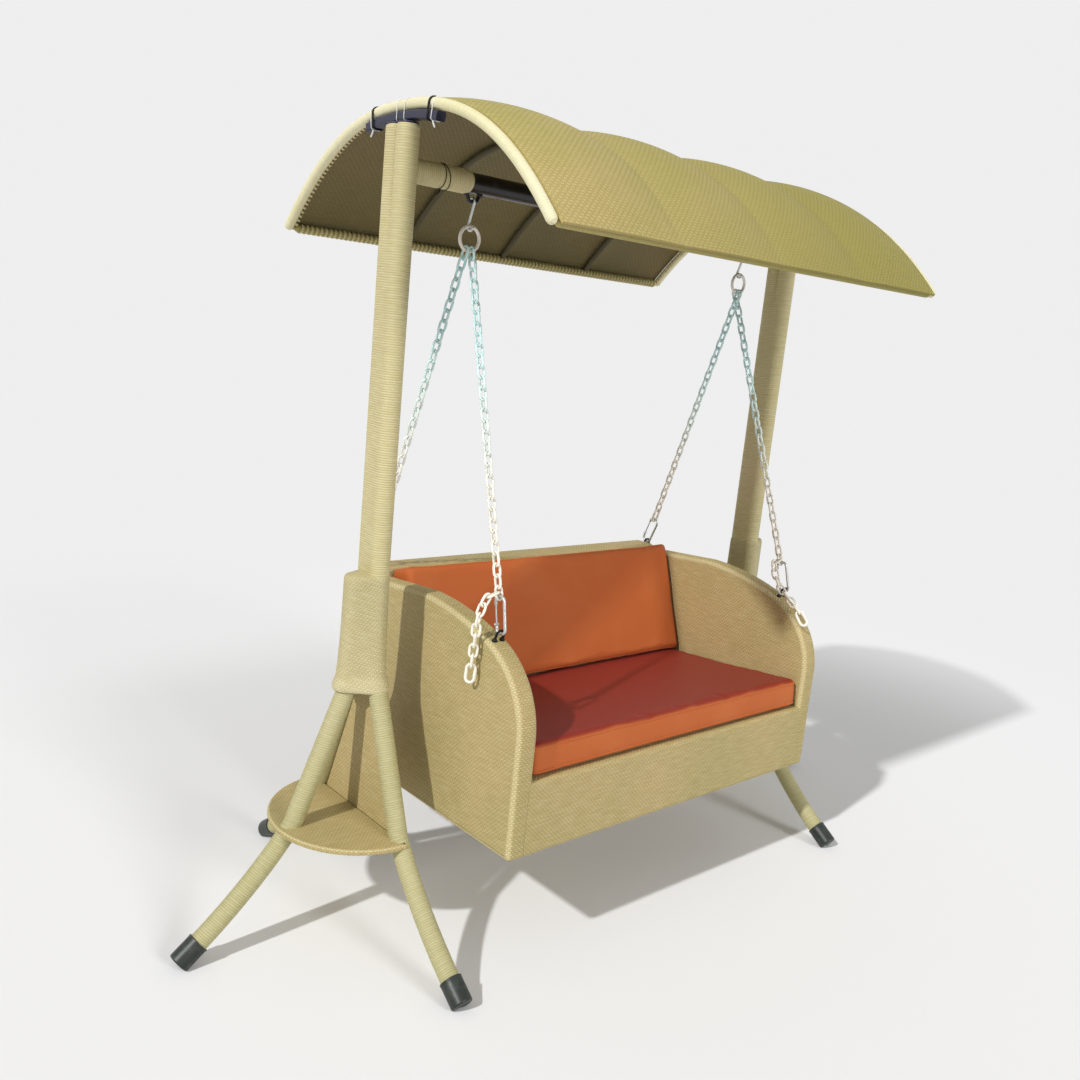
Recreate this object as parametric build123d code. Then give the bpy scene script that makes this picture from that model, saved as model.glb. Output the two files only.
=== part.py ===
from build123d import *
import os
from math import asin, atan2, cos, degrees, hypot, pi, radians, sin, tan

# Garden swing with a hanging two-seat sofa, two wicker-wrapped stands and a scalloped woven canopy.
# Units are millimetres. X runs along the seat, -Y is the front, +Z is up and the ground is Z = 0.

# ---- stands -------------------------------------------------------------------------------------
stand_spacing = 1530.0        # post axis to post axis
tube_diameter = 46.0          # each of the two tubes that make one post
tube_wall = 2.5
twin_gap = 1.0                # weld gap between the two tubes of a post
wrap_thickness = 4.5          # wicker strand layer
wrap_gap = 0.15               # clearance of a wrap on its tube
groove_start = 1780.0         # above this height the wrap follows each tube and leaves a groove
post_cap_thickness = 4.0
collar_bottom = 650.0
collar_top = 955.0
collar_rim_height = 16.0
collar_rim_swell = 4.0
collar_low_spread = (52.0, 63.0)   # at the bottom: twin centres in Y, then the outer leg's centre in X
collar_high_spread = (25.0, 50.0)
collar_outer_radius = 30.0
collar_swell = 1.0            # collar beyond the wrap's radius
leg_diameter = 50.0
leg_slope = 21.5              # degrees from upright, between collar and shelf
leg_top_offset = 59.0         # leg axis from the post axis at the collar's lower edge
leg_insertion = 45.0          # how far a leg reaches up inside the collar
leg_bend_height = 303.0       # where each leg kinks outwards
flare_start_angle = 37.0      # degrees from upright, just below the bend
flare_segments = 3
side_foot_reach = 502.0       # front and rear feet, from the post axis
outer_foot_reach = 478.0      # outer foot, from the post axis
foot_height = 19.0            # axis height at the end of a leg
cap_length = 66.0
cap_wall = 3.0
cap_gap = 0.2
cap_sole = 8.0                # rubber under the end of the leg
shelf_radius = 238.0
shelf_top = 306.0
shelf_thickness = 15.0
shelf_clearance = 0.5
panel_thickness = 9.0
leg_sides = 12                # flats round a leg
tube_sides = 16               # flats round a straight tube
collar_sides = 18
shelf_sides = 24
cut_margin = 1.0              # how far a cutting shape reaches past what it cuts

# ---- crossbeam and hangers ----------------------------------------------------------------------
beam_drop = 96.45             # beam axis below the tops of the posts
beam_diameter = 50.0
beam_wall = 3.0
stub_length = 127.0           # spigot welded to each post, inside the beam's end
stub_wall = 3.0
fit_gap = 0.3
beam_wrap_end = 569.5         # the wicker sleeve on the beam ends this far from the middle
hanger_spacing = 1090.0       # ring centre to ring centre
hanger_bar = 10.0
hanger_sides = 8
hanger_mouth = 44.0           # width of the welded loop where it meets the beam
hanger_throat = 24.0          # width of the loop at the bottom
pivot_drop = 45.0             # axis of the loop's lower bar, about which the seat swings, below the beam's
ring_radius = 30.5            # centreline
ring_wire = 9.0
ring_sides = 16
ring_drop = 90.0              # ring's centre below the loop's lower bar
hook_wire = 7.0
hook_step = 45.0              # degrees from one flat of a hook's bend to the next
seat_gap = 0.4                # play between two pieces of hardware that hang on each other
ring_gap = 2.9                # play of the top links on the curved ring

# ---- chains and snap hooks ----------------------------------------------------------------------
link_pitch = 27.5
link_wire = 6.5
link_width = 26.0
end_link_length = 56.0
end_link_width = 30.0
link_corner = 6.2             # bevel that rounds the end of a link
chain_spread = 9.0            # each chain's top link, from the middle of the ring
tail_links = 8                # slack links that hang below each front hook, with one end link
tail_twist = -15.0            # degrees from one slack link to the next
tail_twisted_links = 3
left_tail_headings = [(0.95, 0, -0.3), (0.6, -0.05, -0.8), (0.35, 0.02, -0.93), (0.15, 0.05, -0.98)]
left_tail_headings += 5 * [(0, 0.07, -1)]
right_tail_headings = [
    (0.95, -0.1, -0.3), (0.1, -0.3, -0.94), (0, -0.42, -0.9), (-0.05, -0.5, -0.86), (-0.1, -0.7, -0.7),
    (-0.1, -0.83, -0.55), (-0.1, -0.78, -0.62), (-0.1, -0.7, -0.7), (-0.05, -0.62, -0.78),
]
snap_length = 100.0
snap_width = 36.0
snap_wire = 8.0
snap_corner = 9.0
gate_length = 52.0
gate_depth = 6.0
gate_gap = 0.5
eye_bar = 7.0
eye_width = 24.0
eye_height = 30.0             # eye bar's axis above the arm
eye_sides = 6                 # flats round an eye's bar
fork_depth = 9.0              # how far the gate's hinge end sits in the hook's fork
gate_width = 4.4
gate_pin_radius = 1.2
pin_sides = 8
gate_hinge_gap = 1.5

# ---- seat ---------------------------------------------------------------------------------------
seat_width = 1234.0
seat_front = -454.0
seat_back = 345.0
seat_bottom = 313.0
arm_rear_round = 38.0
arm_thickness = 61.0
arm_front_radius = 230.0
arm_crown_radius = 862.0
arm_front_turn = 70.0         # degrees of the front curve before the flatter top curve
arm_top = 893.0
arm_rear_top = 866.0
skin_thickness = 5.0          # woven skin
frame_tube = 24.0
frame_wall = 1.5
frame_gap = 1.0
hoop_bends = 4                # bends of the arm hoop round the arm's front curve
hoop_corner = 16.0            # bevel of the arm hoop's upper rear corner
lip_depth = 36.0              # how far the front apron and the back turn in under their edges
back_top = 895.0
back_round = 14.0
back_lean = 18.6              # degrees, the backrest's front face
deck_slope = 5.4              # degrees, falling to the rear
deck_front_height = 516.0
cushion_thickness = 88.0
seat_cushion_depth = 556.0
back_cushion_thickness = 85.0
back_cushion_top = 902.0
back_cushion_toe = 47.0       # Y of the back cushion's lower front edge
cushion_gap = 3.0
cushion_round = 18.0
front_eye_y = -305.0
rear_eye_y = 296.0

# ---- canopy -------------------------------------------------------------------------------------
canopy_length = 1542.0
canopy_width = 1150.0
canopy_crest = 2100.0         # top of the end hoops
canopy_edge = 1816.0          # top of the canopy at its front and rear edges
arch_power = 2.35
canopy_bays = 4
bay_rise = 24.0               # how far each bay bulges above the hoops
canopy_skin = 6.0
hoop_diameter = 26.0
hoop_sides = 8
hoop_gap = 0.3
rib_tube = 18.0
rail_diameter = 20.0
arch_steps = 12
bay_steps = 4
saddle_depth = 22.0
saddle_front = -150.0
saddle_rear = 165.0
tie_wire = 3.0
tie_slack = 3.6
tie_shares = (-0.2, 0.22)     # places of the hoop's ties along the arch
flat_allowance = 2.0          # clears the flats of the roof between its steps

# ---- values that follow from the sizes above ----------------------------------------------------
post_x = stand_spacing / 2
twin_offset = (tube_diameter + twin_gap) / 2
tube_radius = tube_diameter / 2
wrap_radius = tube_radius + wrap_gap + wrap_thickness
leg_radius = leg_diameter / 2
hanger_x = hanger_spacing / 2
arm_outer = seat_width / 2
arm_inner = arm_outer - arm_thickness
arm_middle = arm_outer - arm_thickness / 2
half_length = canopy_length / 2
half_width = canopy_width / 2
sides = {"left": -1, "right": 1}

os.makedirs("parts", exist_ok=True)


def save(name, *shapes):
    """Writes one node, whose separate solids are the given shapes."""
    solids = [solid for shape in shapes for solid in shape.solids()]
    export_step(Compound(children=solids), f"parts/{name}.step")


def unit(x, y, z):
    """Vector of length one."""
    return Vector(x, y, z).normalized()


def strip(points, width):
    """Flat bar outline of the given width that follows an open run of points with mitred corners."""
    count = len(points)
    runs = [(Vector(*points[i + 1]) - Vector(*points[i])).normalized() for i in range(count - 1)]
    left, right = [], []
    for i, point in enumerate(points):
        before, after = runs[max(i - 1, 0)], runs[min(i, count - 2)]
        mitre = (before + after).normalized()
        across = Vector(-mitre.Y, mitre.X)
        reach = width / 2 / across.dot(Vector(-after.Y, after.X))
        left.append(Vector(*point) + across * reach)
        right.append(Vector(*point) - across * reach)
    outline = left + right[::-1]
    return make_face(Polyline([(p.X, p.Y) for p in outline], close=True))


def round_bar(points, radius, flats):
    """Bar with flats round it, carried along a run of straight stretches with mitred corners."""
    path = Polyline(points)
    section = Plane(origin=path @ 0, z_dir=path % 0) * RegularPolygon(radius, flats)
    return sweep(section, path=path, transition=Transition.RIGHT)


# ---- stands: tubes, wraps, collar, legs, caps, shelf and panel -----------------------------------
def hull_points(circles, sides):
    """Corners of an outline round a set of circles, given as (X, Y, radius), one for each direction."""
    points = []
    for step in range(sides):
        angle = 2 * pi * (step + 0.5) / sides
        x, y = cos(angle), sin(angle)
        cx, cy, radius = max(circles, key=lambda circle: circle[0] * x + circle[1] * y + circle[2])
        points.append((cx + radius * x, cy + radius * y))
    return points


def hull_outline(circles, sides):
    """Face with that outline."""
    return make_face(Polyline(hull_points(circles, sides), close=True))


def facet(*corners):
    """Flat face with the given corners."""
    return Face(Wire.make_polygon([Vector(*corner) for corner in corners]))


def slot(radius):
    """Oval round the two tubes of a post."""
    return hull_outline([(0, end * twin_offset, radius) for end in (-1, 1)], tube_sides)


def twin_outlines(radius):
    """Two round outlines, one on each tube of a post."""
    return [hull_outline([(0, end * twin_offset, radius)], tube_sides) for end in (-1, 1)]


def round_along_x(radius, length):
    """Straight round bar along X."""
    return extrude(Plane.YZ * RegularPolygon(radius, tube_sides), length / 2, both=True)


def tube_along_x(outer, inner, length):
    """Straight round tube along X."""
    return round_along_x(outer, length) - round_along_x(inner, length)


def prism(sketch, low, high):
    """Upright prism between two heights."""
    return extrude(Pos(0, 0, low) * sketch, high - low)


def at_post(shape, side):
    """Places a shape made for the left stand, mirrored for the right one."""
    if side > 0:
        shape = mirror(shape, about=Plane.YZ)
    return Pos(side * post_x, 0, 0) * shape


def leg_points(reach):
    """Leg axis as (distance from the post axis, height), from the collar down to the foot."""
    slope = tan(radians(leg_slope))
    top = (leg_top_offset - leg_insertion * slope, collar_bottom + leg_insertion)
    bend = (leg_top_offset + (collar_bottom - leg_bend_height) * slope, leg_bend_height)
    run, drop = reach - bend[0], bend[1] - foot_height
    chord_angle = degrees(atan2(run, drop))
    turn = 2 * (chord_angle - flare_start_angle)
    radius = hypot(run, drop) / (2 * sin(radians(turn) / 2))
    start = radians(flare_start_angle)
    points = [top, bend]
    for step in range(1, flare_segments + 1):
        angle = start + radians(turn) * step / flare_segments
        out = bend[0] + radius * (cos(start) - cos(angle))
        down = bend[1] - radius * (sin(angle) - sin(start))
        points.append((out, down))
    return points


def leg_path(direction, reach):
    """Leg axis in space for the left stand; the direction is the leg's heading on the ground."""
    return [(direction[0] * out, direction[1] * out, height) for out, height in leg_points(reach)]


leg_headings = {"front": (0, -1), "rear": (0, 1), "outer": (-1, 0)}
leg_reaches = {"front": side_foot_reach, "rear": side_foot_reach, "outer": outer_foot_reach}


def arch_slope(share):
    """Slope of the canopy's arch; share runs from -1 at the front edge to 1 at the rear edge."""
    slope = -(canopy_crest - canopy_edge) * arch_power * abs(share) ** (arch_power - 1) / half_width
    return -slope if share < 0 else slope


def arch_point(share, depth=0.0):
    """Point (Y, Z) of the canopy's arch, moved inwards by a depth along the arch's normal."""
    slope = arch_slope(share)
    length = hypot(slope, 1)
    y = half_width * share + depth * slope / length
    z = canopy_edge + (canopy_crest - canopy_edge) * (1 - abs(share) ** arch_power) - depth / length
    return (y, z)


def arch_run(low, high, depth):
    """Points of the arch at its even steps between two shares, both ends included."""
    inner = [2 * step / arch_steps - 1 for step in range(arch_steps + 1)]
    shares = [low, *[share for share in inner if low < share < high], high]
    return [arch_point(share, depth) for share in shares]


saddle_centre = hoop_diameter + flat_allowance + saddle_depth / 2
saddle_low, saddle_high = saddle_front / half_width, saddle_rear / half_width
saddle_bottom = arch_point(2 / arch_steps, saddle_centre + saddle_depth / 2)[1]
post_top = saddle_bottom - post_cap_thickness - 2 * fit_gap
tube_bottom = collar_bottom + leg_insertion + leg_radius * sin(radians(leg_slope)) + fit_gap
beam_height = post_top - beam_drop
pivot_height = beam_height - pivot_drop
ring_height = pivot_height - ring_drop

tubes = [
    prism(outer - inner, tube_bottom, post_top)
    for outer, inner in zip(twin_outlines(tube_radius), twin_outlines(tube_radius - tube_wall))
]

wrap_low = prism(slot(wrap_radius) - slot(tube_radius + wrap_gap), collar_top + fit_gap, groove_start)
twin_face = twin_outlines(wrap_radius)[0] + twin_outlines(wrap_radius)[1]
twin_bore = twin_outlines(tube_radius + wrap_gap)
wrap_high = prism(twin_face - twin_bore[0] - twin_bore[1], groove_start, post_top)
beam_bore_radius = beam_diameter / 2 - beam_wall
stub_hole = Pos(post_x, 0, beam_height) * round_along_x(beam_bore_radius, stand_spacing)
post_wrap = wrap_low + wrap_high - stub_hole
post_cap = prism(twin_face, post_top + fit_gap, post_top + fit_gap + post_cap_thickness)


def collar_circles(spread, swell):
    """Circles round the two post tubes and the outer leg, which the collar wraps."""
    circles = [(0, end * spread[0], wrap_radius + swell) for end in (-1, 1)]
    return [*circles, (-spread[1], 0, collar_outer_radius + swell)]


def collar_corners(spread, height):
    """Corners of the collar at a height."""
    return [(x, y, height) for x, y in hull_points(collar_circles(spread, collar_swell), collar_sides)]


collar_low = collar_corners(collar_low_spread, collar_bottom)
collar_high = collar_corners(collar_high_spread, collar_top)
collar_faces = [facet(*collar_low), facet(*collar_high)]
for i in range(collar_sides):
    after = (i + 1) % collar_sides
    collar_faces.append(facet(collar_low[i], collar_low[after], collar_high[after]))
    collar_faces.append(facet(collar_low[i], collar_high[after], collar_high[i]))
collar = Solid(Shell(collar_faces))
collar += prism(
    hull_outline(collar_circles(collar_low_spread, collar_swell + collar_rim_swell), collar_sides),
    collar_bottom, collar_bottom + collar_rim_height,
)
collar -= prism(slot(tube_radius + wrap_gap), tube_bottom - fit_gap, collar_top)

legs, bores = {}, {}
for name, heading in leg_headings.items():
    legs[name] = round_bar(leg_path(heading, leg_reaches[name]), leg_radius, leg_sides)
    bores[name] = round_bar(leg_path(heading, leg_reaches[name]), leg_radius + shelf_clearance, leg_sides)
    collar -= bores[name]


def foot_cap(name):
    """Rubber cup over the end of a leg, cut flat where it stands on the ground."""
    start, end = [Vector(*point) for point in leg_path(leg_headings[name], leg_reaches[name])[-2:]]
    along = (end - start).normalized()
    mouth = end - along * (cap_length - cap_sole)
    tip = end + along * cap_sole
    body = round_bar([mouth, tip], leg_radius + cap_gap + cap_wall, leg_sides)
    bore = round_bar([mouth - along, end + along * cap_gap], leg_radius + cap_gap, leg_sides)
    ground_size = 2 * (max(side_foot_reach, outer_foot_reach) + cap_length)
    ground = Pos(0, 0, -cap_length) * Box(ground_size, ground_size, 2 * cap_length)
    return body - bore - ground


shelf_edge = panel_thickness / 2 + fit_gap
outer_half = Pos(-shelf_radius - shelf_edge, 0) * Rectangle(2 * shelf_radius, 2 * shelf_radius)
half_disc = hull_outline([(0, 0, shelf_radius)], shelf_sides) & outer_half
shelf = prism(half_disc, shelf_top - shelf_thickness, shelf_top)
for bore in bores.values():
    shelf -= bore

panel_low = shelf_top + fit_gap
panel_high = collar_bottom - fit_gap


def panel_edge(height):
    """Half width of the niche at a height, clear of the front and rear legs."""
    axis = leg_top_offset + (collar_bottom - height) * tan(radians(leg_slope))
    return axis - (leg_radius + shelf_clearance) / cos(radians(leg_slope))


low_edge, high_edge = panel_edge(panel_low), panel_edge(panel_high)
panel_outline = Polyline(
    (-low_edge, panel_low), (low_edge, panel_low), (high_edge, panel_high), (-high_edge, panel_high),
    close=True,
)
panel = extrude(Plane.YZ * make_face(panel_outline), panel_thickness / 2, both=True)

stub_radius = beam_bore_radius - fit_gap
stub_middle = tube_radius + wrap_gap + stub_length / 2
beam_stub = Pos(stub_middle, 0, beam_height) * tube_along_x(stub_radius, stub_radius - stub_wall, stub_length)

for side_name, side in sides.items():
    save(f"{side_name}_post_tubes", *[at_post(tube, side) for tube in tubes])
    save(f"{side_name}_post_wrap", at_post(post_wrap, side))
    save(f"{side_name}_collar", at_post(collar, side))
    for name, leg in legs.items():
        save(f"{side_name}_{name}_leg", at_post(leg, side))
    save(f"{side_name}_shelf", at_post(shelf, side))
    save(f"{side_name}_niche_panel", at_post(panel, side))
    save(f"{side_name}_beam_stub", at_post(beam_stub, side))
save("post_caps", *[at_post(post_cap, side) for side in sides.values()])
save("foot_caps", *[at_post(foot_cap(name), side) for side in sides.values() for name in legs])

# ---- crossbeam, its wicker sleeves and the welded hanger loops ------------------------------------
beam_length = 2 * (post_x - wrap_radius - fit_gap)
beam_radius = beam_diameter / 2
crossbeam = Pos(0, 0, beam_height) * tube_along_x(beam_radius, beam_bore_radius, beam_length)
sleeve_length = beam_length / 2 - beam_wrap_end
sleeve = tube_along_x(beam_radius + wrap_gap + wrap_thickness, beam_radius + wrap_gap, sleeve_length)
beam_sleeves = [Pos(side * (beam_wrap_end + sleeve_length / 2), 0, beam_height) * sleeve
                for side in sides.values()]


def hanger_loop(side):
    """Welded loop of round bar under the beam, wide at the beam and narrow at the bottom."""
    x, top = side * hanger_x, beam_height - beam_radius / 2
    points = [
        (x - hanger_mouth / 2, 0, top), (x - hanger_throat / 2, 0, pivot_height),
        (x + hanger_throat / 2, 0, pivot_height), (x + hanger_mouth / 2, 0, top),
    ]
    beam_skin = Pos(x, 0, beam_height) * round_along_x(beam_radius, 2 * (hanger_mouth + hanger_bar))
    return round_bar(points, hanger_bar / 2, hanger_sides) - beam_skin


def hook_arc(centre, radius, angles):
    """Corner points of a hook's bend about a centre in the YZ plane."""
    return [(centre[0] + radius * cos(radians(a)), centre[1] + radius * sin(radians(a))) for a in angles]


def beam_hook(side):
    """S-shaped hook: the upper bend sits on the loop's bar, the lower bend carries the ring."""
    upper_radius = hanger_bar / 2 + seat_gap + hook_wire / 2
    lower_radius = ring_wire / 2**0.5 + seat_gap + hook_wire / 2
    ring_top = ring_height + ring_radius
    shank_lean = degrees(asin((upper_radius + lower_radius) / (pivot_height - ring_top)))
    spread = 1 / cos(radians(hook_step / 2))
    first = shank_lean - hook_step / 2
    turns = [hook_step * step for step in range(round(180 / hook_step) + 1)]
    upper = hook_arc((0, pivot_height), upper_radius * spread, [first + turn for turn in turns])
    lower = hook_arc((0, ring_top), lower_radius * spread, [first - turn for turn in turns])
    bar = extrude(Plane.YZ * strip(upper + lower, hook_wire), hook_wire / 2, both=True)
    return Pos(side * hanger_x, 0, 0) * bar


ring_face = RegularPolygon(ring_radius + ring_wire / 2, ring_sides, major_radius=False, rotation=90)
ring_face -= RegularPolygon(ring_radius - ring_wire / 2, ring_sides, major_radius=False, rotation=90)
ring = extrude(Plane.XZ * ring_face, ring_wire / 2, both=True)

save("crossbeam", crossbeam)
save("beam_sleeves", *beam_sleeves)
save("hanger_loops", *[hanger_loop(side) for side in sides.values()])
save("beam_hooks", *[beam_hook(side) for side in sides.values()])
save("hanger_rings", *[Pos(side * hanger_x, 0, ring_height) * ring for side in sides.values()])


# ---- seat arms --------------------------------------------------------------------------------
arm_rest_turn = 90 - arm_front_turn
arm_front_straight = (
    arm_top - arm_crown_radius * (1 - cos(radians(arm_rest_turn)))
    - arm_front_radius * sin(radians(arm_front_turn))
)
crown_start = (
    seat_front + arm_front_radius * (1 - cos(radians(arm_front_turn))),
    arm_front_straight + arm_front_radius * sin(radians(arm_front_turn)),
)
crown_end = (crown_start[0] + arm_crown_radius * sin(radians(arm_rest_turn)), arm_top)
rear_fall = (arm_top - arm_rear_top) / (seat_back - crown_end[0])


def arm_outline():
    """Side outline of an arm: straight front, tight front curve, flat crown, top falling to the rear."""
    front = Line((seat_front, seat_bottom), (seat_front, arm_front_straight))
    curve = JernArc(front @ 1, (0, 1), arm_front_radius, -arm_front_turn)
    crown = JernArc(curve @ 1, curve % 1, arm_crown_radius, -arm_rest_turn)
    top = Line(crown @ 1, (seat_back, arm_rear_top))
    rear = Line(top @ 1, (seat_back, seat_bottom))
    base = Line(rear @ 1, front @ 0)
    face = make_face(Curve() + [front, curve, crown, top, rear, base])
    corner = face.vertices().sort_by_distance((seat_back, arm_rear_top, 0))[0]
    return fillet(corner, arm_rear_round)


def arm_surface(y):
    """Height of the arm's top at a place along it, and the surface's normal as (Y, Z)."""
    if y > crown_end[0]:
        normal = unit(rear_fall, 1, 0)
        return arm_top - rear_fall * (y - crown_end[0]), (normal.X, normal.Y)
    if y > crown_start[0]:
        lean = (crown_end[0] - y) / arm_crown_radius
        rise = (1 - lean**2) ** 0.5
        return arm_top - arm_crown_radius * (1 - rise), (-lean, rise)
    lean = (seat_front + arm_front_radius - y) / arm_front_radius
    rise = (1 - lean**2) ** 0.5
    return arm_front_straight + arm_front_radius * rise, (-lean, rise)


def hoop_run(depth):
    """Run of the steel hoop inside an arm, at a depth under the arm's surface."""
    bottom = seat_bottom + frame_gap + frame_tube + fit_gap
    front_y = seat_front + depth
    run = [(front_y, bottom), (front_y, arm_front_straight)]
    centre = (seat_front + arm_front_radius, arm_front_straight)
    for step in range(1, hoop_bends + 1):
        angle = radians(arm_front_turn) * step / hoop_bends
        reach = arm_front_radius - depth
        run.append((centre[0] - reach * cos(angle), centre[1] + reach * sin(angle)))
    crown_y = (crown_start[0] + crown_end[0]) / 2
    for y in (crown_y, crown_end[0], seat_back - depth):
        height, normal = arm_surface(y)
        run.append((y - normal[0] * depth, height - normal[1] * depth))
    rear_y, corner_z = seat_back - depth, run.pop()[1]
    run += [(rear_y - hoop_corner, corner_z), (rear_y, corner_z - hoop_corner), (rear_y, bottom)]
    return run


hoop_depth = skin_thickness + frame_gap + frame_tube / 2
arm_hoop = extrude(Plane.YZ * strip(hoop_run(hoop_depth), frame_tube), frame_tube / 2, both=True)
hoop_bore = strip(hoop_run(hoop_depth), frame_tube - 2 * frame_wall)
arm_tube = arm_hoop - extrude(Plane.YZ * hoop_bore, frame_tube / 2 - frame_wall, both=True)
arm_face = Plane.YZ * arm_outline()
cavity_face = Plane.YZ * offset(arm_outline(), -skin_thickness)
open_base = Pos(0, (seat_front + seat_back) / 2, seat_bottom) * Box(
    arm_thickness - 2 * skin_thickness, seat_back - seat_front - 2 * skin_thickness,
    2 * (skin_thickness + cut_margin),
)
arm_skin = extrude(arm_face, arm_thickness / 2, both=True)
arm_skin -= extrude(cavity_face, arm_thickness / 2 - skin_thickness, both=True) + open_base


# ---- eyes, snap hooks and chains --------------------------------------------------------------------
def eye_place(y):
    """Middle of an eye's bar above an arm's middle line, and the arm's normal there."""
    height, normal = arm_surface(y)
    centre = Vector(0, y, height) + Vector(0, *normal) * eye_height
    return centre, Vector(0, *normal)


def eye(y):
    """Staple of round bar across the arm, welded to the hoop under the skin."""
    centre, normal = eye_place(y)
    foot = centre - normal * (eye_height + hoop_depth)
    half, bevel = eye_width / 2, eye_bar
    corners = [
        (-half, foot), (-half, centre - normal * bevel), (-half + bevel, centre),
        (half - bevel, centre), (half, centre - normal * bevel), (half, foot),
    ]
    points = [(x, place.Y, place.Z) for x, place in corners]
    return round_bar(points, eye_bar / 2, eye_sides) - arm_hoop


def eye_holes(y):
    """Two holes in the woven skin for a staple's legs."""
    centre, normal = eye_place(y)
    hole = RegularPolygon(eye_bar / 2 + fit_gap, eye_sides)
    holes = []
    for end in (-1, 1):
        start = centre + Vector(end * eye_width / 2, 0, 0) - normal * (eye_height / 2)
        holes.append(extrude(Plane(origin=start, z_dir=-normal) * hole, eye_height))
    return holes


def link_outline(length, width, corner):
    """Long octagon."""
    x, y = length / 2, width / 2
    return make_face(Polyline(
        (x, corner - y), (x, y - corner), (x - corner, y), (corner - x, y),
        (-x, y - corner), (-x, corner - y), (corner - x, -y), (x - corner, -y), close=True,
    ))


def link(inner_length, width, wire, plane, corner=link_corner):
    """One closed link; the plane's X runs along it and its Z is normal to it."""
    face = link_outline(inner_length + 2 * wire, width, corner)
    face -= Rectangle(inner_length, width - 2 * wire)
    return extrude(plane * face, wire / 2, both=True)


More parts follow.
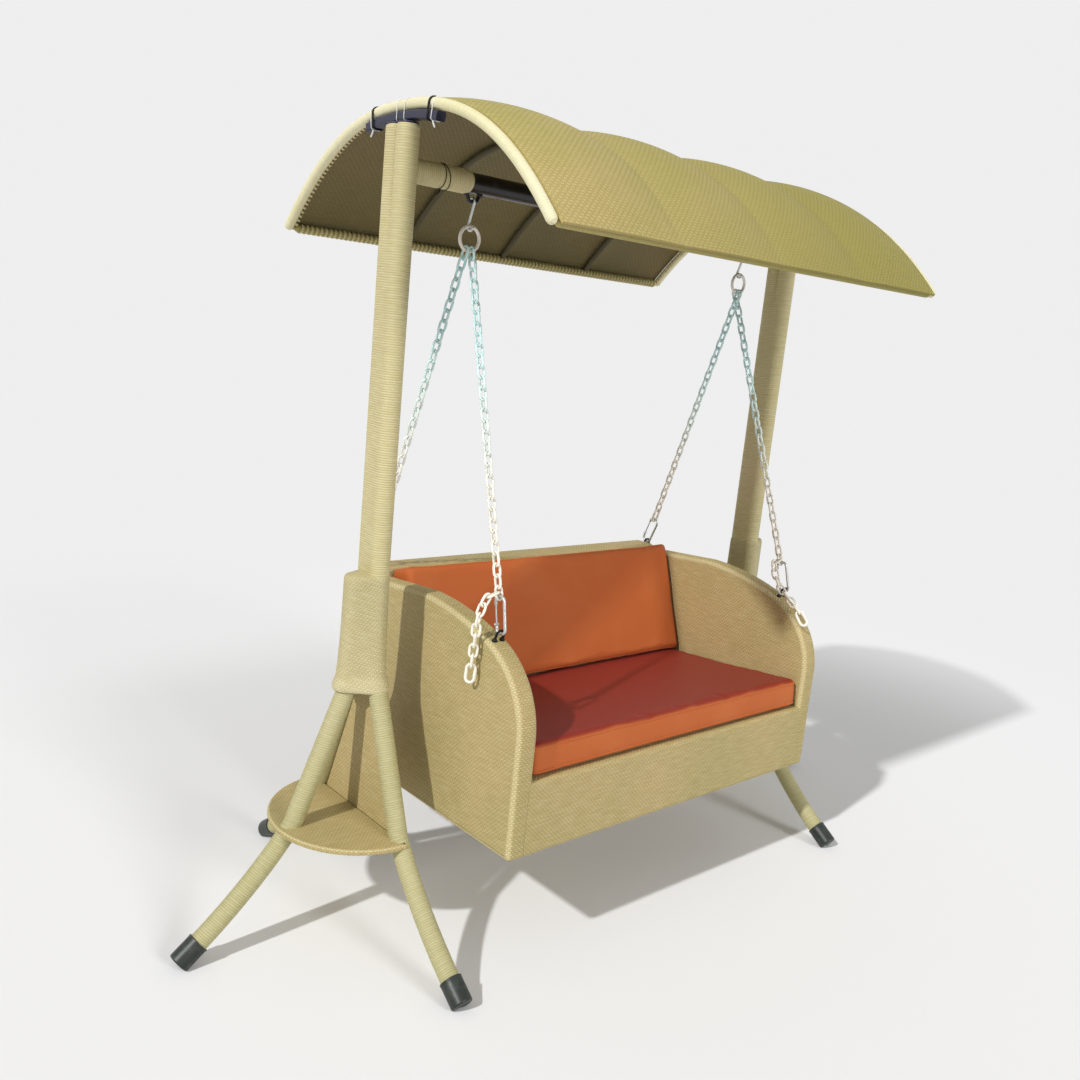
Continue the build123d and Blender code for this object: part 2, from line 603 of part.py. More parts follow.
class Hanger:
    """One chain with its snap hook, from an eye on an arm up to a ring."""

    def __init__(self, side, y, inner_side):
        centre, normal = eye_place(y)
        centre += Vector(side * arm_middle, 0, 0)
        drop = (ring_radius**2 - chain_spread**2) ** 0.5
        spread = -side * inner_side * chain_spread
        self.side = side
        self.head = Vector(side * hanger_x + spread, 0, ring_height - drop)
        self.along = (self.head - centre).normalized()
        self.foot = centre - self.along * (eye_bar / 2 + snap_wire / 2 + seat_gap)
        self.length = (self.head - self.foot).length
        self.across = self.along.cross(Vector(1, 0, 0)).normalized()
        self.normal = self.along.cross(self.across).normalized()
        self.snap_middle = snap_length / 2 - snap_wire / 2

    def plane(self, distance, turned=False):
        """Plane at a distance above the eye; turned gives the plane whose width runs along X."""
        origin = self.foot + self.along * distance
        return Plane(origin=origin, x_dir=self.along, z_dir=self.across if turned else self.normal)

    def block(self, low, high, near, far, width):
        """Box in the hook's plane: along the hook, across it, and through its thickness."""
        middle = self.snap_middle + (low + high) / 2
        outline = Pos(0, (near + far) / 2) * Rectangle(high - low, far - near)
        return extrude(self.plane(middle) * outline, width / 2, both=True)

    def hinge_point(self):
        """Axis of the gate's pin."""
        low = -gate_length / 2 + fork_depth / 2
        return (
            self.foot + self.along * (self.snap_middle + low)
            + self.plane(0).y_dir * (snap_width / 2 - snap_wire / 2)
        )

    def pin(self, radius, length):
        """Pin across the hook's thickness at the gate's hinge."""
        outline = Plane(origin=self.hinge_point(), x_dir=self.along, z_dir=self.normal)
        return extrude(outline * RegularPolygon(radius, pin_sides), length / 2, both=True)

    def snap_hook(self):
        """Hook body: a closed oval with a gate opening and a fork that holds the gate's pin."""
        edge = snap_width / 2
        hole = snap_length - 2 * snap_wire
        body = link(hole, snap_width, snap_wire, self.plane(self.snap_middle), snap_corner)
        fork_top = -gate_length / 2 + fork_depth
        near, far = edge - snap_wire - cut_margin, edge + cut_margin
        body -= self.block(fork_top, gate_length / 2, near, far, snap_wire + 2 * cut_margin)
        groove = gate_width + 2 * fit_gap
        body -= self.block(-gate_length / 2, fork_top + cut_margin, near, far, groove)
        return body - self.pin(gate_pin_radius, snap_wire + 2 * cut_margin)

    def gate(self):
        """Sprung gate, hinged in the fork and closing against the hook's nose."""
        edge = snap_width / 2
        inset = (snap_wire - gate_depth) / 2
        bar = self.block(
            -gate_length / 2 + gate_hinge_gap, gate_length / 2 - gate_gap,
            edge - snap_wire + inset, edge - inset, gate_width,
        )
        return bar - self.pin(gate_pin_radius + fit_gap, snap_wire)

    def links(self, has_end_link):
        """Links from the hook up to the ring, each turned a quarter from the last."""
        start = self.snap_middle + snap_length / 2 - snap_wire - seat_gap
        finish = self.length + ring_wire / 2 + ring_gap
        end_inner = end_link_length - 2 * snap_wire if has_end_link else 0.0
        room = finish - start - end_inner
        odd = 1 if has_end_link else 0
        count = 2 * round((room / link_pitch + odd) / 2) - odd
        gaps = count - 1 + odd
        inner = (room + gaps * seat_gap) / count
        solids, low = [], start
        if has_end_link:
            plane = self.plane(low + end_inner / 2, turned=True)
            solids.append(link(end_inner, end_link_width, snap_wire, plane))
            low += end_inner - seat_gap
        for number in range(count):
            turned = (number + odd) % 2 == 0
            plane = self.plane(low + inner / 2, turned)
            solids.append(link(inner, link_width, link_wire, plane))
            low += inner - seat_gap
        return solids

    def tail_start(self, heading, outward):
        """Middle of the first slack link's upper end, inside the bottom link of the chain."""
        free_low = self.snap_middle + snap_length / 2
        free_high = self.snap_middle + snap_length / 2 - snap_wire + link_pitch - link_wire
        clear = 3 * seat_gap + (abs(heading.X) + abs(heading.Z)) * link_wire / 2
        offset = outward * self.side * (link_width / 2 - link_wire - clear)
        middle = (free_low + free_high) / 2 + 2 * seat_gap
        return self.foot + self.along * middle + Vector(offset, 0, 0)

    def tail(self, headings, outward):
        """Slack links that hang beside the hook, then the larger end link."""
        runs = [self.heading(heading, outward) for heading in headings]
        joint = self.tail_start(runs[0], outward)
        solids = []
        for number, along in enumerate(runs):
            last = number == tail_links
            wire = snap_wire if last else link_wire
            hole = end_link_length - 2 * snap_wire if last else link_pitch + seat_gap
            face = self.along if number == 0 else Vector(0, 1, 0) if number % 2 else Vector(1, 0, 0)
            face = (face - along * face.dot(along)).normalized()
            twists = min(max(number - 1, 0), tail_twisted_links)
            face = face.rotate(Axis((0, 0, 0), along), tail_twist * twists)
            plane = Plane(origin=joint + along * (wire / 2 + hole / 2), x_dir=along, z_dir=face)
            solids.append(link(hole, end_link_width if last else link_width, wire, plane))
            if last:
                break
            next_wire = snap_wire if number + 1 == tail_links else link_wire
            nesting = self.nesting(along, runs[number + 1], wire, next_wire, number == 0)
            joint += along * (wire + hole) - nesting
        return solids

    def nesting(self, along, after, wire, next_wire, free):
        """Step back from a link's end to the end of the link that hangs in it, at a bend between them.

        Free leaves room for the next link to turn as far as it likes."""
        if free:
            return after * (next_wire / 2 + wire / 2**0.5 + 4 * seat_gap)
        bend = radians(along.get_angle(after))
        reach = (next_wire / 2 + wire / 2 * (cos(bend) + sin(bend)) + 2 * seat_gap) / cos(bend / 2)
        return (along + after).normalized() * reach

    def heading(self, vector, outward):
        """Direction in space of a heading given as (sideways, Y, Z)."""
        return Vector(vector[0] * self.side * outward, vector[1], vector[2]).normalized()


hangers = {}
for side_name, side in sides.items():
    hangers[f"front_{side_name}"] = Hanger(side, front_eye_y, 1)
    hangers[f"rear_{side_name}"] = Hanger(side, rear_eye_y, -1)

for name, hanger in hangers.items():
    save(f"{name}_chain", *hanger.links(name.startswith("rear")))
    save(f"{name}_snap_hook", hanger.snap_hook())
    save(f"{name}_gate", hanger.gate())
save("gate_pins", *[hanger.pin(gate_pin_radius, snap_wire) for hanger in hangers.values()])
left_tail = hangers["front_left"].tail(left_tail_headings, 1)
right_tail = hangers["front_right"].tail(right_tail_headings, -1)
save("tail_top_links", left_tail[0], right_tail[0])
save("left_chain_tail", *left_tail[1:])
save("right_chain_tail", *right_tail[1:])

eyes = []
for y in (front_eye_y, rear_eye_y):
    for hole in eye_holes(y):
        arm_skin -= hole
    eyes += [Pos(side * arm_middle, 0, 0) * eye(y) for side in sides.values()]
save("eye_staples", *eyes)
for side_name, side in sides.items():
    save(f"{side_name}_arm_weave", Pos(side * arm_middle, 0, 0) * arm_skin)
    save(f"{side_name}_arm_hoop", Pos(side * arm_middle, 0, 0) * arm_tube)


# ---- seat: deck, apron, back, frame tubes and cushions ---------------------------------------------
seat_span = 2 * (arm_inner - fit_gap)
deck_fall = tan(radians(deck_slope))
back_fall = tan(radians(back_lean))
cushion_bottom = cushion_gap / cos(radians(deck_slope))
cushion_rise = cushion_thickness / cos(radians(deck_slope))
seat_top_rise = cushion_bottom + cushion_rise


def deck_height(y, rise=0.0):
    """Height of the sloping deck's upper face, or of a level at a rise above it."""
    return deck_front_height + rise - (y - seat_front) * deck_fall


def leaning(z, depth=0.0):
    """Y of the back cushion's front face at a height, or of a face parallel to it at a depth behind."""
    toe_height = deck_height(back_cushion_toe, seat_top_rise)
    return back_cushion_toe + (z - toe_height) * back_fall + depth / cos(radians(back_lean))


def across_seat(points, rounds=None):
    """Prism between the arms with the given side outline; rounds gives (point number, radius) pairs."""
    face = make_face(Polyline([tuple(point) for point in points], close=True))
    for index, radius in rounds or []:
        corner = face.vertices().sort_by_distance((*points[index], 0))[0]
        face = fillet(corner, radius)
    return extrude(Plane.YZ * face, seat_span / 2, both=True)


back_face_depth = back_cushion_thickness + cushion_gap
lip_y = seat_front + lip_depth
apron = across_seat([
    (seat_front, seat_bottom), (lip_y, seat_bottom), (lip_y, seat_bottom + skin_thickness),
    (seat_front + skin_thickness, seat_bottom + skin_thickness),
    (seat_front + skin_thickness, deck_height(seat_front + skin_thickness, -skin_thickness)),
    (lip_y, deck_height(lip_y, -skin_thickness)), (lip_y, deck_height(lip_y)),
    (seat_front, deck_height(seat_front)),
])

deck_end = leaning(deck_height(0, -skin_thickness), back_face_depth) - fit_gap
deck_rear = deck_end / (1 + deck_fall * back_fall)
deck_start = lip_y + fit_gap
deck = across_seat([
    (deck_start, deck_height(deck_start, -skin_thickness)),
    (deck_rear, deck_height(deck_rear, -skin_thickness)),
    (deck_rear, deck_height(deck_rear)), (deck_start, deck_height(deck_start)),
])

back_foot = deck_height(deck_rear, -skin_thickness)
back_outline = [
    (leaning(back_foot, back_face_depth), back_foot), (leaning(back_top, back_face_depth), back_top),
    (seat_back, back_top), (seat_back, seat_bottom), (seat_back - skin_thickness, seat_bottom),
    (seat_back - skin_thickness, back_top - skin_thickness),
    (leaning(back_top - skin_thickness, back_face_depth + skin_thickness), back_top - skin_thickness),
    (leaning(back_foot, back_face_depth + skin_thickness), back_foot),
]
back_weave = across_seat(back_outline, [(1, back_round), (2, back_round)])

seat_cushion_front = seat_front + cushion_gap
seat_cushion_rear = seat_cushion_front + seat_cushion_depth
deck_turn = sin(radians(deck_slope)) * cushion_thickness
seat_cushion_outline = [
    (seat_cushion_front, deck_height(seat_cushion_front, cushion_bottom)),
    (seat_cushion_rear, deck_height(seat_cushion_rear, cushion_bottom)),
    (seat_cushion_rear + deck_turn, deck_height(seat_cushion_rear + deck_turn, seat_top_rise)),
    (seat_cushion_front + deck_turn, deck_height(seat_cushion_front + deck_turn, seat_top_rise)),
]
cushion_span = 2 * (arm_inner - cushion_gap)


def cushion(outline):
    """Cushion between the arms with rounded long edges."""
    face = make_face(Polyline(outline, close=True))
    face = fillet(face.vertices(), cushion_round)
    return extrude(Plane.YZ * face, cushion_span / 2, both=True)


back_cushion_low = seat_top_rise + cushion_gap
low_front = leaning(deck_height(back_cushion_toe, back_cushion_low))
low_rear_y = back_cushion_toe + back_cushion_thickness / cos(radians(back_lean))
back_edge_height = back_cushion_top - back_cushion_thickness * sin(radians(back_lean))
back_cushion_outline = [
    (low_front, deck_height(low_front, back_cushion_low)),
    (low_rear_y, deck_height(low_rear_y, back_cushion_low)),
    (leaning(back_edge_height, back_cushion_thickness), back_edge_height),
    (leaning(back_cushion_top), back_cushion_top),
]


def box_tube(length, place):
    """Square tube along X."""
    outer = Box(length, frame_tube, frame_tube)
    return place * (outer - Box(length, frame_tube - 2 * frame_wall, frame_tube - 2 * frame_wall))


tube_half = frame_tube / 2
front_tube_y = seat_front + skin_thickness + frame_gap + tube_half
rear_tube_y = seat_back - skin_thickness - frame_gap - tube_half
under_deck = -skin_thickness - frame_gap - tube_half / cos(radians(deck_slope)) - tube_half * deck_fall
upper_rear_y = deck_rear - frame_tube
deck_rails = [
    box_tube(seat_span, Pos(0, front_tube_y, deck_height(front_tube_y, under_deck))),
    box_tube(seat_span, Pos(0, upper_rear_y, deck_height(upper_rear_y, under_deck))),
]
base_height = seat_bottom + skin_thickness + frame_gap + tube_half
base_rails = [
    box_tube(seat_span, Pos(0, front_tube_y, base_height)),
    box_tube(seat_span, Pos(0, rear_tube_y, base_height)),
]
back_rail_height = back_top - skin_thickness - back_round - tube_half
back_rail = box_tube(seat_span, Pos(0, rear_tube_y, back_rail_height))

save("front_apron", apron)
save("seat_deck", deck)
save("back_weave", back_weave)
save("seat_cushion", cushion(seat_cushion_outline))
save("back_cushion", cushion(back_cushion_outline))
save("seat_rails", *deck_rails, *base_rails, back_rail)


# ---- canopy ---------------------------------------------------------------------------------------
hoop_x = half_length - hoop_diameter / 2
weave_half = half_length - hoop_diameter - hoop_gap
hoop_points = arch_run(-1, 1, hoop_diameter / 2)
hoop_radius = hoop_diameter / 2


def weave_section(x, rise):
    """Cross-section of the woven roof, lifted along its normal by a rise."""
    shares = [2 * step / arch_steps - 1 for step in range(arch_steps + 1)]
    outer = [arch_point(share, -rise) for share in shares]
    inner = [arch_point(share, canopy_skin - rise) for share in shares]
    return Plane(origin=(x, 0, 0), x_dir=(0, 1, 0), z_dir=(1, 0, 0)) * make_face(
        Polyline(outer + inner[::-1], close=True)
    )


sections = []
for step in range(canopy_bays * bay_steps + 1):
    share = step / (canopy_bays * bay_steps)
    within = (step % bay_steps) / bay_steps
    sections.append(weave_section(weave_half * (2 * share - 1), bay_rise * 4 * within * (1 - within)))
canopy_weave = loft(sections, ruled=True)


def hoop(side):
    """Arched end hoop."""
    points = [(side * hoop_x, y, z) for y, z in hoop_points]
    return round_bar(points, hoop_radius, hoop_sides)


rail_depth = canopy_skin + flat_allowance + rail_diameter / 2
rail_share = 1 - rail_diameter / canopy_width
rail_length = 2 * weave_half
rails = []
for end in (-1, 1):
    y, z = arch_point(end * rail_share, rail_depth)
    rail_end = Plane(origin=(-weave_half, y, z), z_dir=(1, 0, 0))
    rails.append(extrude(rail_end * RegularPolygon(rail_diameter / 2, hoop_sides), rail_length))

rib_depth = canopy_skin + flat_allowance + rib_tube / 2
rib_reach = (rail_diameter / 2 + fit_gap) / hypot(arch_slope(rail_share), 1) / half_width
rib_share = rail_share - rib_reach
rib_face = strip(arch_run(-rib_share, rib_share, rib_depth), rib_tube)
rib = extrude(Plane.YZ * rib_face, rib_tube / 2, both=True)
ribs = [Pos(weave_half * (2 * bay / canopy_bays - 1), 0, 0) * rib for bay in range(1, canopy_bays)]

saddle_points = arch_run(saddle_low, saddle_high, saddle_centre)
saddle_points.remove(arch_point(0, saddle_centre))
saddle = extrude(Plane.YZ * strip(saddle_points, saddle_depth), hoop_radius, both=True)


tie_high = hoop_diameter + saddle_depth + 2 * tie_slack
tie_wide = hoop_diameter + 2 * fit_gap


def tie_frame(share):
    """Plane of a tie, square to the arch."""
    y, z = arch_point(share, tie_high / 2 - tie_slack)
    return Plane(origin=(0, y, z), x_dir=(1, 0, 0), z_dir=unit(0, 1, arch_slope(share)))


def tie(share):
    """Wire band round the hoop and the saddle under it."""
    band = Rectangle(tie_wide + 2 * tie_wire, tie_high + 2 * tie_wire) - Rectangle(tie_wide, tie_high)
    return extrude(tie_frame(share) * band, tie_wire / 2, both=True)


for side in sides.values():
    for share in tie_shares:
        notch = Rectangle(tie_wide + 2 * (tie_wire + fit_gap), tie_high)
        canopy_weave -= Pos(side * hoop_x, 0, 0) * extrude(
            tie_frame(share) * notch, tie_wire / 2 + fit_gap, both=True
        )

save("canopy_weave", canopy_weave)
save("canopy_ribs", *ribs)
save("canopy_edge_rails", *rails)
for side_name, side in sides.items():
    save(f"{side_name}_canopy_hoop", hoop(side))
    save(f"{side_name}_canopy_saddle", Pos(side * hoop_x, 0, 0) * saddle)
ties = [Pos(side * hoop_x, 0, 0) * tie(share) for side in sides.values() for share in tie_shares]
save("canopy_ties", *ties)
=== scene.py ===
"""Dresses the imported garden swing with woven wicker, steel, chain, rubber and cushions.

Lengths are in metres. X runs along the seat, -Y is the front, +Z is up and the ground is Z = 0.
"""

import logging
from dataclasses import dataclass, field
from enum import Enum
from math import asin, ceil, cos, hypot, pi, radians, sin, tan
from typing import Any, Sequence

import bmesh
import bpy
import numpy as np
from mathutils import Matrix, Vector
from mathutils.bvhtree import BVHTree


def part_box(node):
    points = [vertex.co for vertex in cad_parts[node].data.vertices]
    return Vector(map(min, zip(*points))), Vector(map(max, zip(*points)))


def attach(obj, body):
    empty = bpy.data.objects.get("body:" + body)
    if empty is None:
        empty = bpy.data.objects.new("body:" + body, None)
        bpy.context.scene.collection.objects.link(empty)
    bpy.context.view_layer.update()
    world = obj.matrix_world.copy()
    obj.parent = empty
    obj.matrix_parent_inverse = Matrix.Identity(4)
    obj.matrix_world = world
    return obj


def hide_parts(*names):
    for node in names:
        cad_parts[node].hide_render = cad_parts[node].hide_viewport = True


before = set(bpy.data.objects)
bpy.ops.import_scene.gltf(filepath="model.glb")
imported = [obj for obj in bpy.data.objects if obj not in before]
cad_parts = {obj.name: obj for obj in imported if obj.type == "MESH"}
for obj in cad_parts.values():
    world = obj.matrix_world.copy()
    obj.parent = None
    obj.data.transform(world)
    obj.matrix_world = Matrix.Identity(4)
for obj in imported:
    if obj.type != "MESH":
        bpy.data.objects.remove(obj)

Array = np.ndarray
Points = Sequence[Sequence[float]]
Mesh = bpy.types.Mesh
Object = bpy.types.Object
Material = bpy.types.Material
Tree = bpy.types.NodeTree
Node = bpy.types.Node
Socket = bpy.types.NodeSocket
render_levels = 1
sides = {"left": -1, "right": 1}
MM = 0.001
log = logging.getLogger("swing")


# ---- shape helpers ------------------------------------------------------------------------------
def unit(vector: Any) -> Array:
    """Vector, or each row of an array, at length one."""
    vector = np.asarray(vector, float)
    return vector / np.maximum(np.linalg.norm(vector, axis=-1, keepdims=True), 1e-12)


def rounded(corners: Points, radii: float | Sequence[float]) -> Array:
    """Run of points through corners, each turned with an arc.

    An arc starts radius * tan(turn / 2) before its corner. Its points are the arc's centre, plus cos(angle)
    times the arm to its start, plus sin(angle) times its radius along the first run.

    Args:
        corners: places that the run heads for, ends included.
        radii: arc radius at every inner corner, or one for each.

    Returns:
        Array of points.
    """
    places = np.asarray(corners, float)
    radii = np.broadcast_to(radii, len(places) - 2)
    points = [places[:1]]
    straight, step = radians(1), radians(8)
    for before, corner, after, radius in zip(places, places[1:], places[2:], radii):
        first, second = unit(corner - before), unit(after - corner)
        turn = np.arccos(np.clip(first @ second, -1, 1))
        if turn < straight:
            points.append(corner[None])
            continue
        centre = corner + unit(second - first) * radius / cos(turn / 2)
        arm = corner - first * radius * tan(turn / 2) - centre
        angles = np.linspace(0, turn, max(3, ceil(turn / step) + 1))[:, None]
        points.append(centre + np.cos(angles) * arm + np.sin(angles) * radius * first)
    return np.concatenate([*points, places[-1:]])


def lengths(path: Array) -> Array:
    """Distance along a path at each of its points."""
    return np.concatenate([[0], np.cumsum(np.linalg.norm(np.diff(path, axis=0), axis=1))])


def resample(path: Array, step: float) -> Array:
    """Path with its points a step apart, found by interpolation along its length."""
    along = lengths(path)
    count = max(2, ceil(along[-1] / step) + 1)
    even = np.linspace(0, along[-1], count)
    return np.stack([np.interp(even, along, path[:, axis]) for axis in range(path.shape[1])], 1)


def headings(path: Array, closed: bool = False) -> Array:
    """Unit tangent at each point: the direction from the point before it to the point after it."""
    if closed:
        ring = path[:-1]
        ahead = np.roll(ring, -1, 0) - np.roll(ring, 1, 0)
        return unit(np.concatenate([ahead, ahead[:1]]))
    return unit(np.gradient(path, axis=0))


def carried(path: Array, normal: Any, section: Array, closed: bool = False) -> Array:
    """Grid of a section carried along a flat path.

    A point is the path's point, plus the section's first offset along tangent x normal, plus its second
    offset along the normal of the path's plane.

    Args:
        path: points of the path.
        normal: normal of the plane that the path lies in.
        section: offsets, one set for all points or one for each.
        closed: whether the path's last point is its first.

    Returns:
        Points as rows along the path.
    """
    normal = unit(normal)
    side = unit(np.cross(headings(path, closed), normal))
    section = np.broadcast_to(section, (len(path), *section.shape[-2:]))
    return path[:, None] + section[..., :1] * side[:, None] + section[..., 1:] * normal


def circle(around: int) -> Array:
    """Angles once round, with the last one on the first."""
    return np.linspace(0, 2 * pi, around + 1)


def hull_ring(circles: Points, samples: int) -> tuple[Array, Array]:
    """Outline and outward normals of a band pulled tight round circles.

    In each direction the outline's point lies on the circle that reaches furthest that way. The points are
    then spread evenly along the outline, so that its straight runs are filled.

    Args:
        circles: (X, Y, radius) of each circle.
        samples: number of points, without the closing one.

    Returns:
        Points and normals, with the last on the first.
    """
    angles = circle(12 * samples)
    heading = np.stack([np.cos(angles), np.sin(angles)], 1)
    data = np.asarray(circles, float)
    reach = heading @ data[:, :2].T + data[:, 2]
    best = data[reach.argmax(1)]
    outline = best[:, :2] + best[:, 2:] * heading
    along = lengths(outline)
    even = np.linspace(0, along[-1], samples + 1)
    pick = [np.interp(even, along, values) for values in (*outline.T, *heading.T)]
    return np.stack(pick[:2], 1), unit(np.stack(pick[2:], 1))


def strand_swell(phase: Array) -> Array:
    """Round top of a strand: the size of a sine, which is 0 between strands and 1 on their middles."""
    return np.abs(np.sin(pi * phase))


# ---- mesh helpers -------------------------------------------------------------------------------
@dataclass
class Piece:
    """One visible piece: collects grids and end faces, and writes them as one closed mesh."""

    name: str
    places: list[Array] = field(default_factory=list)
    corners: list[Array] = field(default_factory=list)
    sizes: list[Array] = field(default_factory=list)
    charts: list[Array] = field(default_factory=list)
    tones: list[Array] = field(default_factory=list)
    finishes: list["Finish | None"] = field(default_factory=list)
    count: int = 0

    def grid(self, points: Array, chart: Array | None = None, tone: Array | None = None,
             finish: "Finish | None" = None) -> "Piece":
        """Adds a grid of four-sided faces.

        Args:
            points: rows and columns of points.
            chart: UV place of each point in metres.
            tone: value of the "tone" attribute at each point.
            finish: finish of these faces, where it isn't the piece's own.
        """
        rows, columns = points.shape[:2]
        row, column = np.meshgrid(np.arange(rows - 1), np.arange(columns - 1), indexing="ij")
        first = row * columns + column
        faces = np.stack([first, first + 1, first + columns + 1, first + columns], -1).reshape(-1, 4)
        chart = np.zeros((rows, columns, 2)) if chart is None else chart
        tone = np.zeros((rows, columns)) if tone is None else tone
        self.add(points.reshape(-1, 3), faces, chart.reshape(-1, 2)[faces], tone.reshape(-1), finish)
        return self

    def face(self, points: Array, chart: Array | None = None) -> "Piece":
        """Adds one flat face with the given outline and UV places."""
        chart = np.zeros((len(points), 2)) if chart is None else chart
        order = np.arange(len(points))[None]
        self.add(points, order, chart[None], np.zeros(len(points)))
        return self

    def capped(self, points: Array, chart: Array | None = None, tone: Array | None = None) -> "Piece":
        """Adds a grid whose rows are closed rings, with a flat face over its first row and its last."""
        return self.grid(points, chart, tone).face(points[0, :-1]).face(points[-1, :-1])

    def add(self, points: Array, faces: Array, chart: Array, tone: Array,
            finish: "Finish | None" = None) -> None:
        """Stores points, faces as rows of point numbers, and UV places for each face corner."""
        self.places.append(points)
        self.corners.append((faces + self.count).reshape(-1))
        self.sizes.append(np.full(len(faces), faces.shape[1]))
        self.charts.append(chart.reshape(-1, 2))
        self.tones.append(tone)
        self.finishes.append(finish)
        self.count += len(points)

    def tube(self, path: Array, normal: Any, radius: Any, around: int = 12, closed: bool = False,
             flat: float = 1.0) -> "Piece":
        """Adds a plain round bar along a flat path, with domed ends unless the path is closed.

        Args:
            path: centre line.
            normal: normal of the path's plane.
            radius: one radius, or one for each point.
            around: faces round the bar.
            closed: whether the path's last point is its first.
            flat: thickness along the normal as a share of the width.
        """
        radius = np.broadcast_to(radius, len(path)).astype(float)
        if not closed:
            path, radius = domed(path, radius)
        angle = circle(around)
        ring = np.stack([np.cos(angle), np.sin(angle) * flat], 1)
        points = carried(path, normal, radius[:, None, None] * ring, closed)
        chart = np.stack(np.broadcast_arrays(angle * radius.max(), lengths(path)[:, None]), -1)
        return self.grid(points, chart) if closed else self.capped(points, chart)

    def finish(self, body: str, slot: str, finish: "Finish", replaced: Sequence[str] = ()) -> Object:
        """Writes the piece and lets it ride on a CAD body.

        Args:
            body: CAD body that the piece moves with.
            slot: material slot name; not used.
            finish: finish of its surface.
            replaced: CAD nodes that it stands for.

        Returns:
            The new object.
        """
        return settle(self.write(finish), body, replaced)

    def write(self, finish: "Finish") -> Object:
        """Writes the mesh, joins its seams, turns its faces outwards and dresses it.

        Args:
            finish: finish of the faces that have none of their own.

        Returns:
            The new object, which rides on nothing yet.
        """
        sharp, seam = radians(50), 0.002 * MM
        mesh = bpy.data.meshes.new(self.name)
        corners, sizes = np.concatenate(self.corners), np.concatenate(self.sizes)
        mesh.vertices.add(self.count)
        mesh.vertices.foreach_set("co", np.concatenate(self.places).astype(np.float32).ravel())
        mesh.loops.add(len(corners))
        mesh.loops.foreach_set("vertex_index", corners.astype(np.int32))
        mesh.polygons.add(len(sizes))
        starts = np.concatenate([[0], np.cumsum(sizes)[:-1]])
        mesh.polygons.foreach_set("loop_start", starts.astype(np.int32))
        looks = [part or finish for part in self.finishes]
        own = list(dict.fromkeys(looks))
        for look in own:
            mesh.materials.append(look.material())
        numbers = [np.full(len(part), own.index(look)) for look, part in zip(looks, self.sizes)]
        mesh.polygons.foreach_set("material_index", np.concatenate(numbers).astype(np.int32))
        chart = mesh.uv_layers.new(name="UVMap")
        chart.data.foreach_set("uv", np.concatenate(self.charts).astype(np.float32).ravel())
        tone = mesh.attributes.new("tone", "FLOAT", "POINT")
        tone.data.foreach_set("value", np.concatenate(self.tones).astype(np.float32))
        mesh.update(calc_edges=True)
        mesh.validate()
        build = bmesh.new()
        build.from_mesh(mesh)
        bmesh.ops.remove_doubles(build, verts=build.verts, dist=seam)
        bmesh.ops.recalc_face_normals(build, faces=build.faces)
        build.to_mesh(mesh)
        build.free()
        mesh.polygons.foreach_set("use_smooth", np.ones(len(mesh.polygons), bool))
        mesh.set_sharp_from_angle(angle=sharp)
        return linked(self.name, mesh)


def linked(name: str, data: Any) -> Object:
    """New object with the given data, linked to the scene."""
    made = bpy.data.objects.new(name, data)
    bpy.context.scene.collection.objects.link(made)
    return made


def places_of(mesh: Mesh) -> Array:
    """Places of a mesh's points."""
    values = np.zeros(3 * len(mesh.vertices), np.float32)
    mesh.vertices.foreach_get("co", values)
    return values.reshape(-1, 3)


def settle(piece: Object, body: str, replaced: Sequence[str]) -> Object:
    """Lets a piece ride on a CAD body and the nodes that it stands for, and reports it."""
    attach(piece, body)
    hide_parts(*replaced)
    log.info("%s: %d faces, rides on %s", piece.name, len(piece.data.polygons), body)
    return piece


def domed(path: Array, radius: Array) -> tuple[Array, Array]:
    """Path and radii with a half-round dome added past each end.

    A dome's ring at an angle stands sin(angle) radii past the end and is cos(angle) radii wide. The last
    angle is just short of a right angle, which leaves a small ring for the end face.

    Args:
        path: centre line.
        radius: radius at each of its points.

    Returns:
        The longer path and its radii.
    """
    angles = np.linspace(0, 0.96 * pi / 2, 5)[1:]
    first, last = unit(path[0] - path[1]), unit(path[-1] - path[-2])
    head = path[0] + np.sin(angles[::-1, None]) * radius[0] * first
    tail = path[-1] + np.sin(angles[:, None]) * radius[-1] * last
    swell = np.cos(angles)
    radii = np.concatenate([swell[::-1] * radius[0], radius, swell * radius[-1]])
    return np.concatenate([head, path, tail]), radii


def loose_solids(node: str) -> list[Array]:
    """Corner points of each separate solid in a CAD node.

    Triangle corners that round to one place are joined, then every triangle hands its lowest label to its
    corners until nothing changes, so a solid's points end with one label.

    Args:
        node: name of the CAD node.

    Returns:
        One array of points for each solid.
    """
    near = 0.02
    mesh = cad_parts[node].data
    mesh.calc_loop_triangles()
    triangles = np.zeros(3 * len(mesh.loop_triangles), np.int32)
    mesh.loop_triangles.foreach_get("vertices", triangles)
    steps = np.round(places_of(mesh) / (near * MM))
    places, joined = np.unique(steps, axis=0, return_inverse=True)
    triangles = joined.reshape(-1)[triangles].reshape(-1, 3)
    labels = np.arange(len(places))
    while True:
        lowest = labels[triangles].min(1)
        spread = labels.copy()
        np.minimum.at(spread, triangles.ravel(), np.repeat(lowest, 3))
        if (spread == labels).all():
            break
        labels = spread
    return [places[labels == label] * near * MM for label in np.unique(labels)]


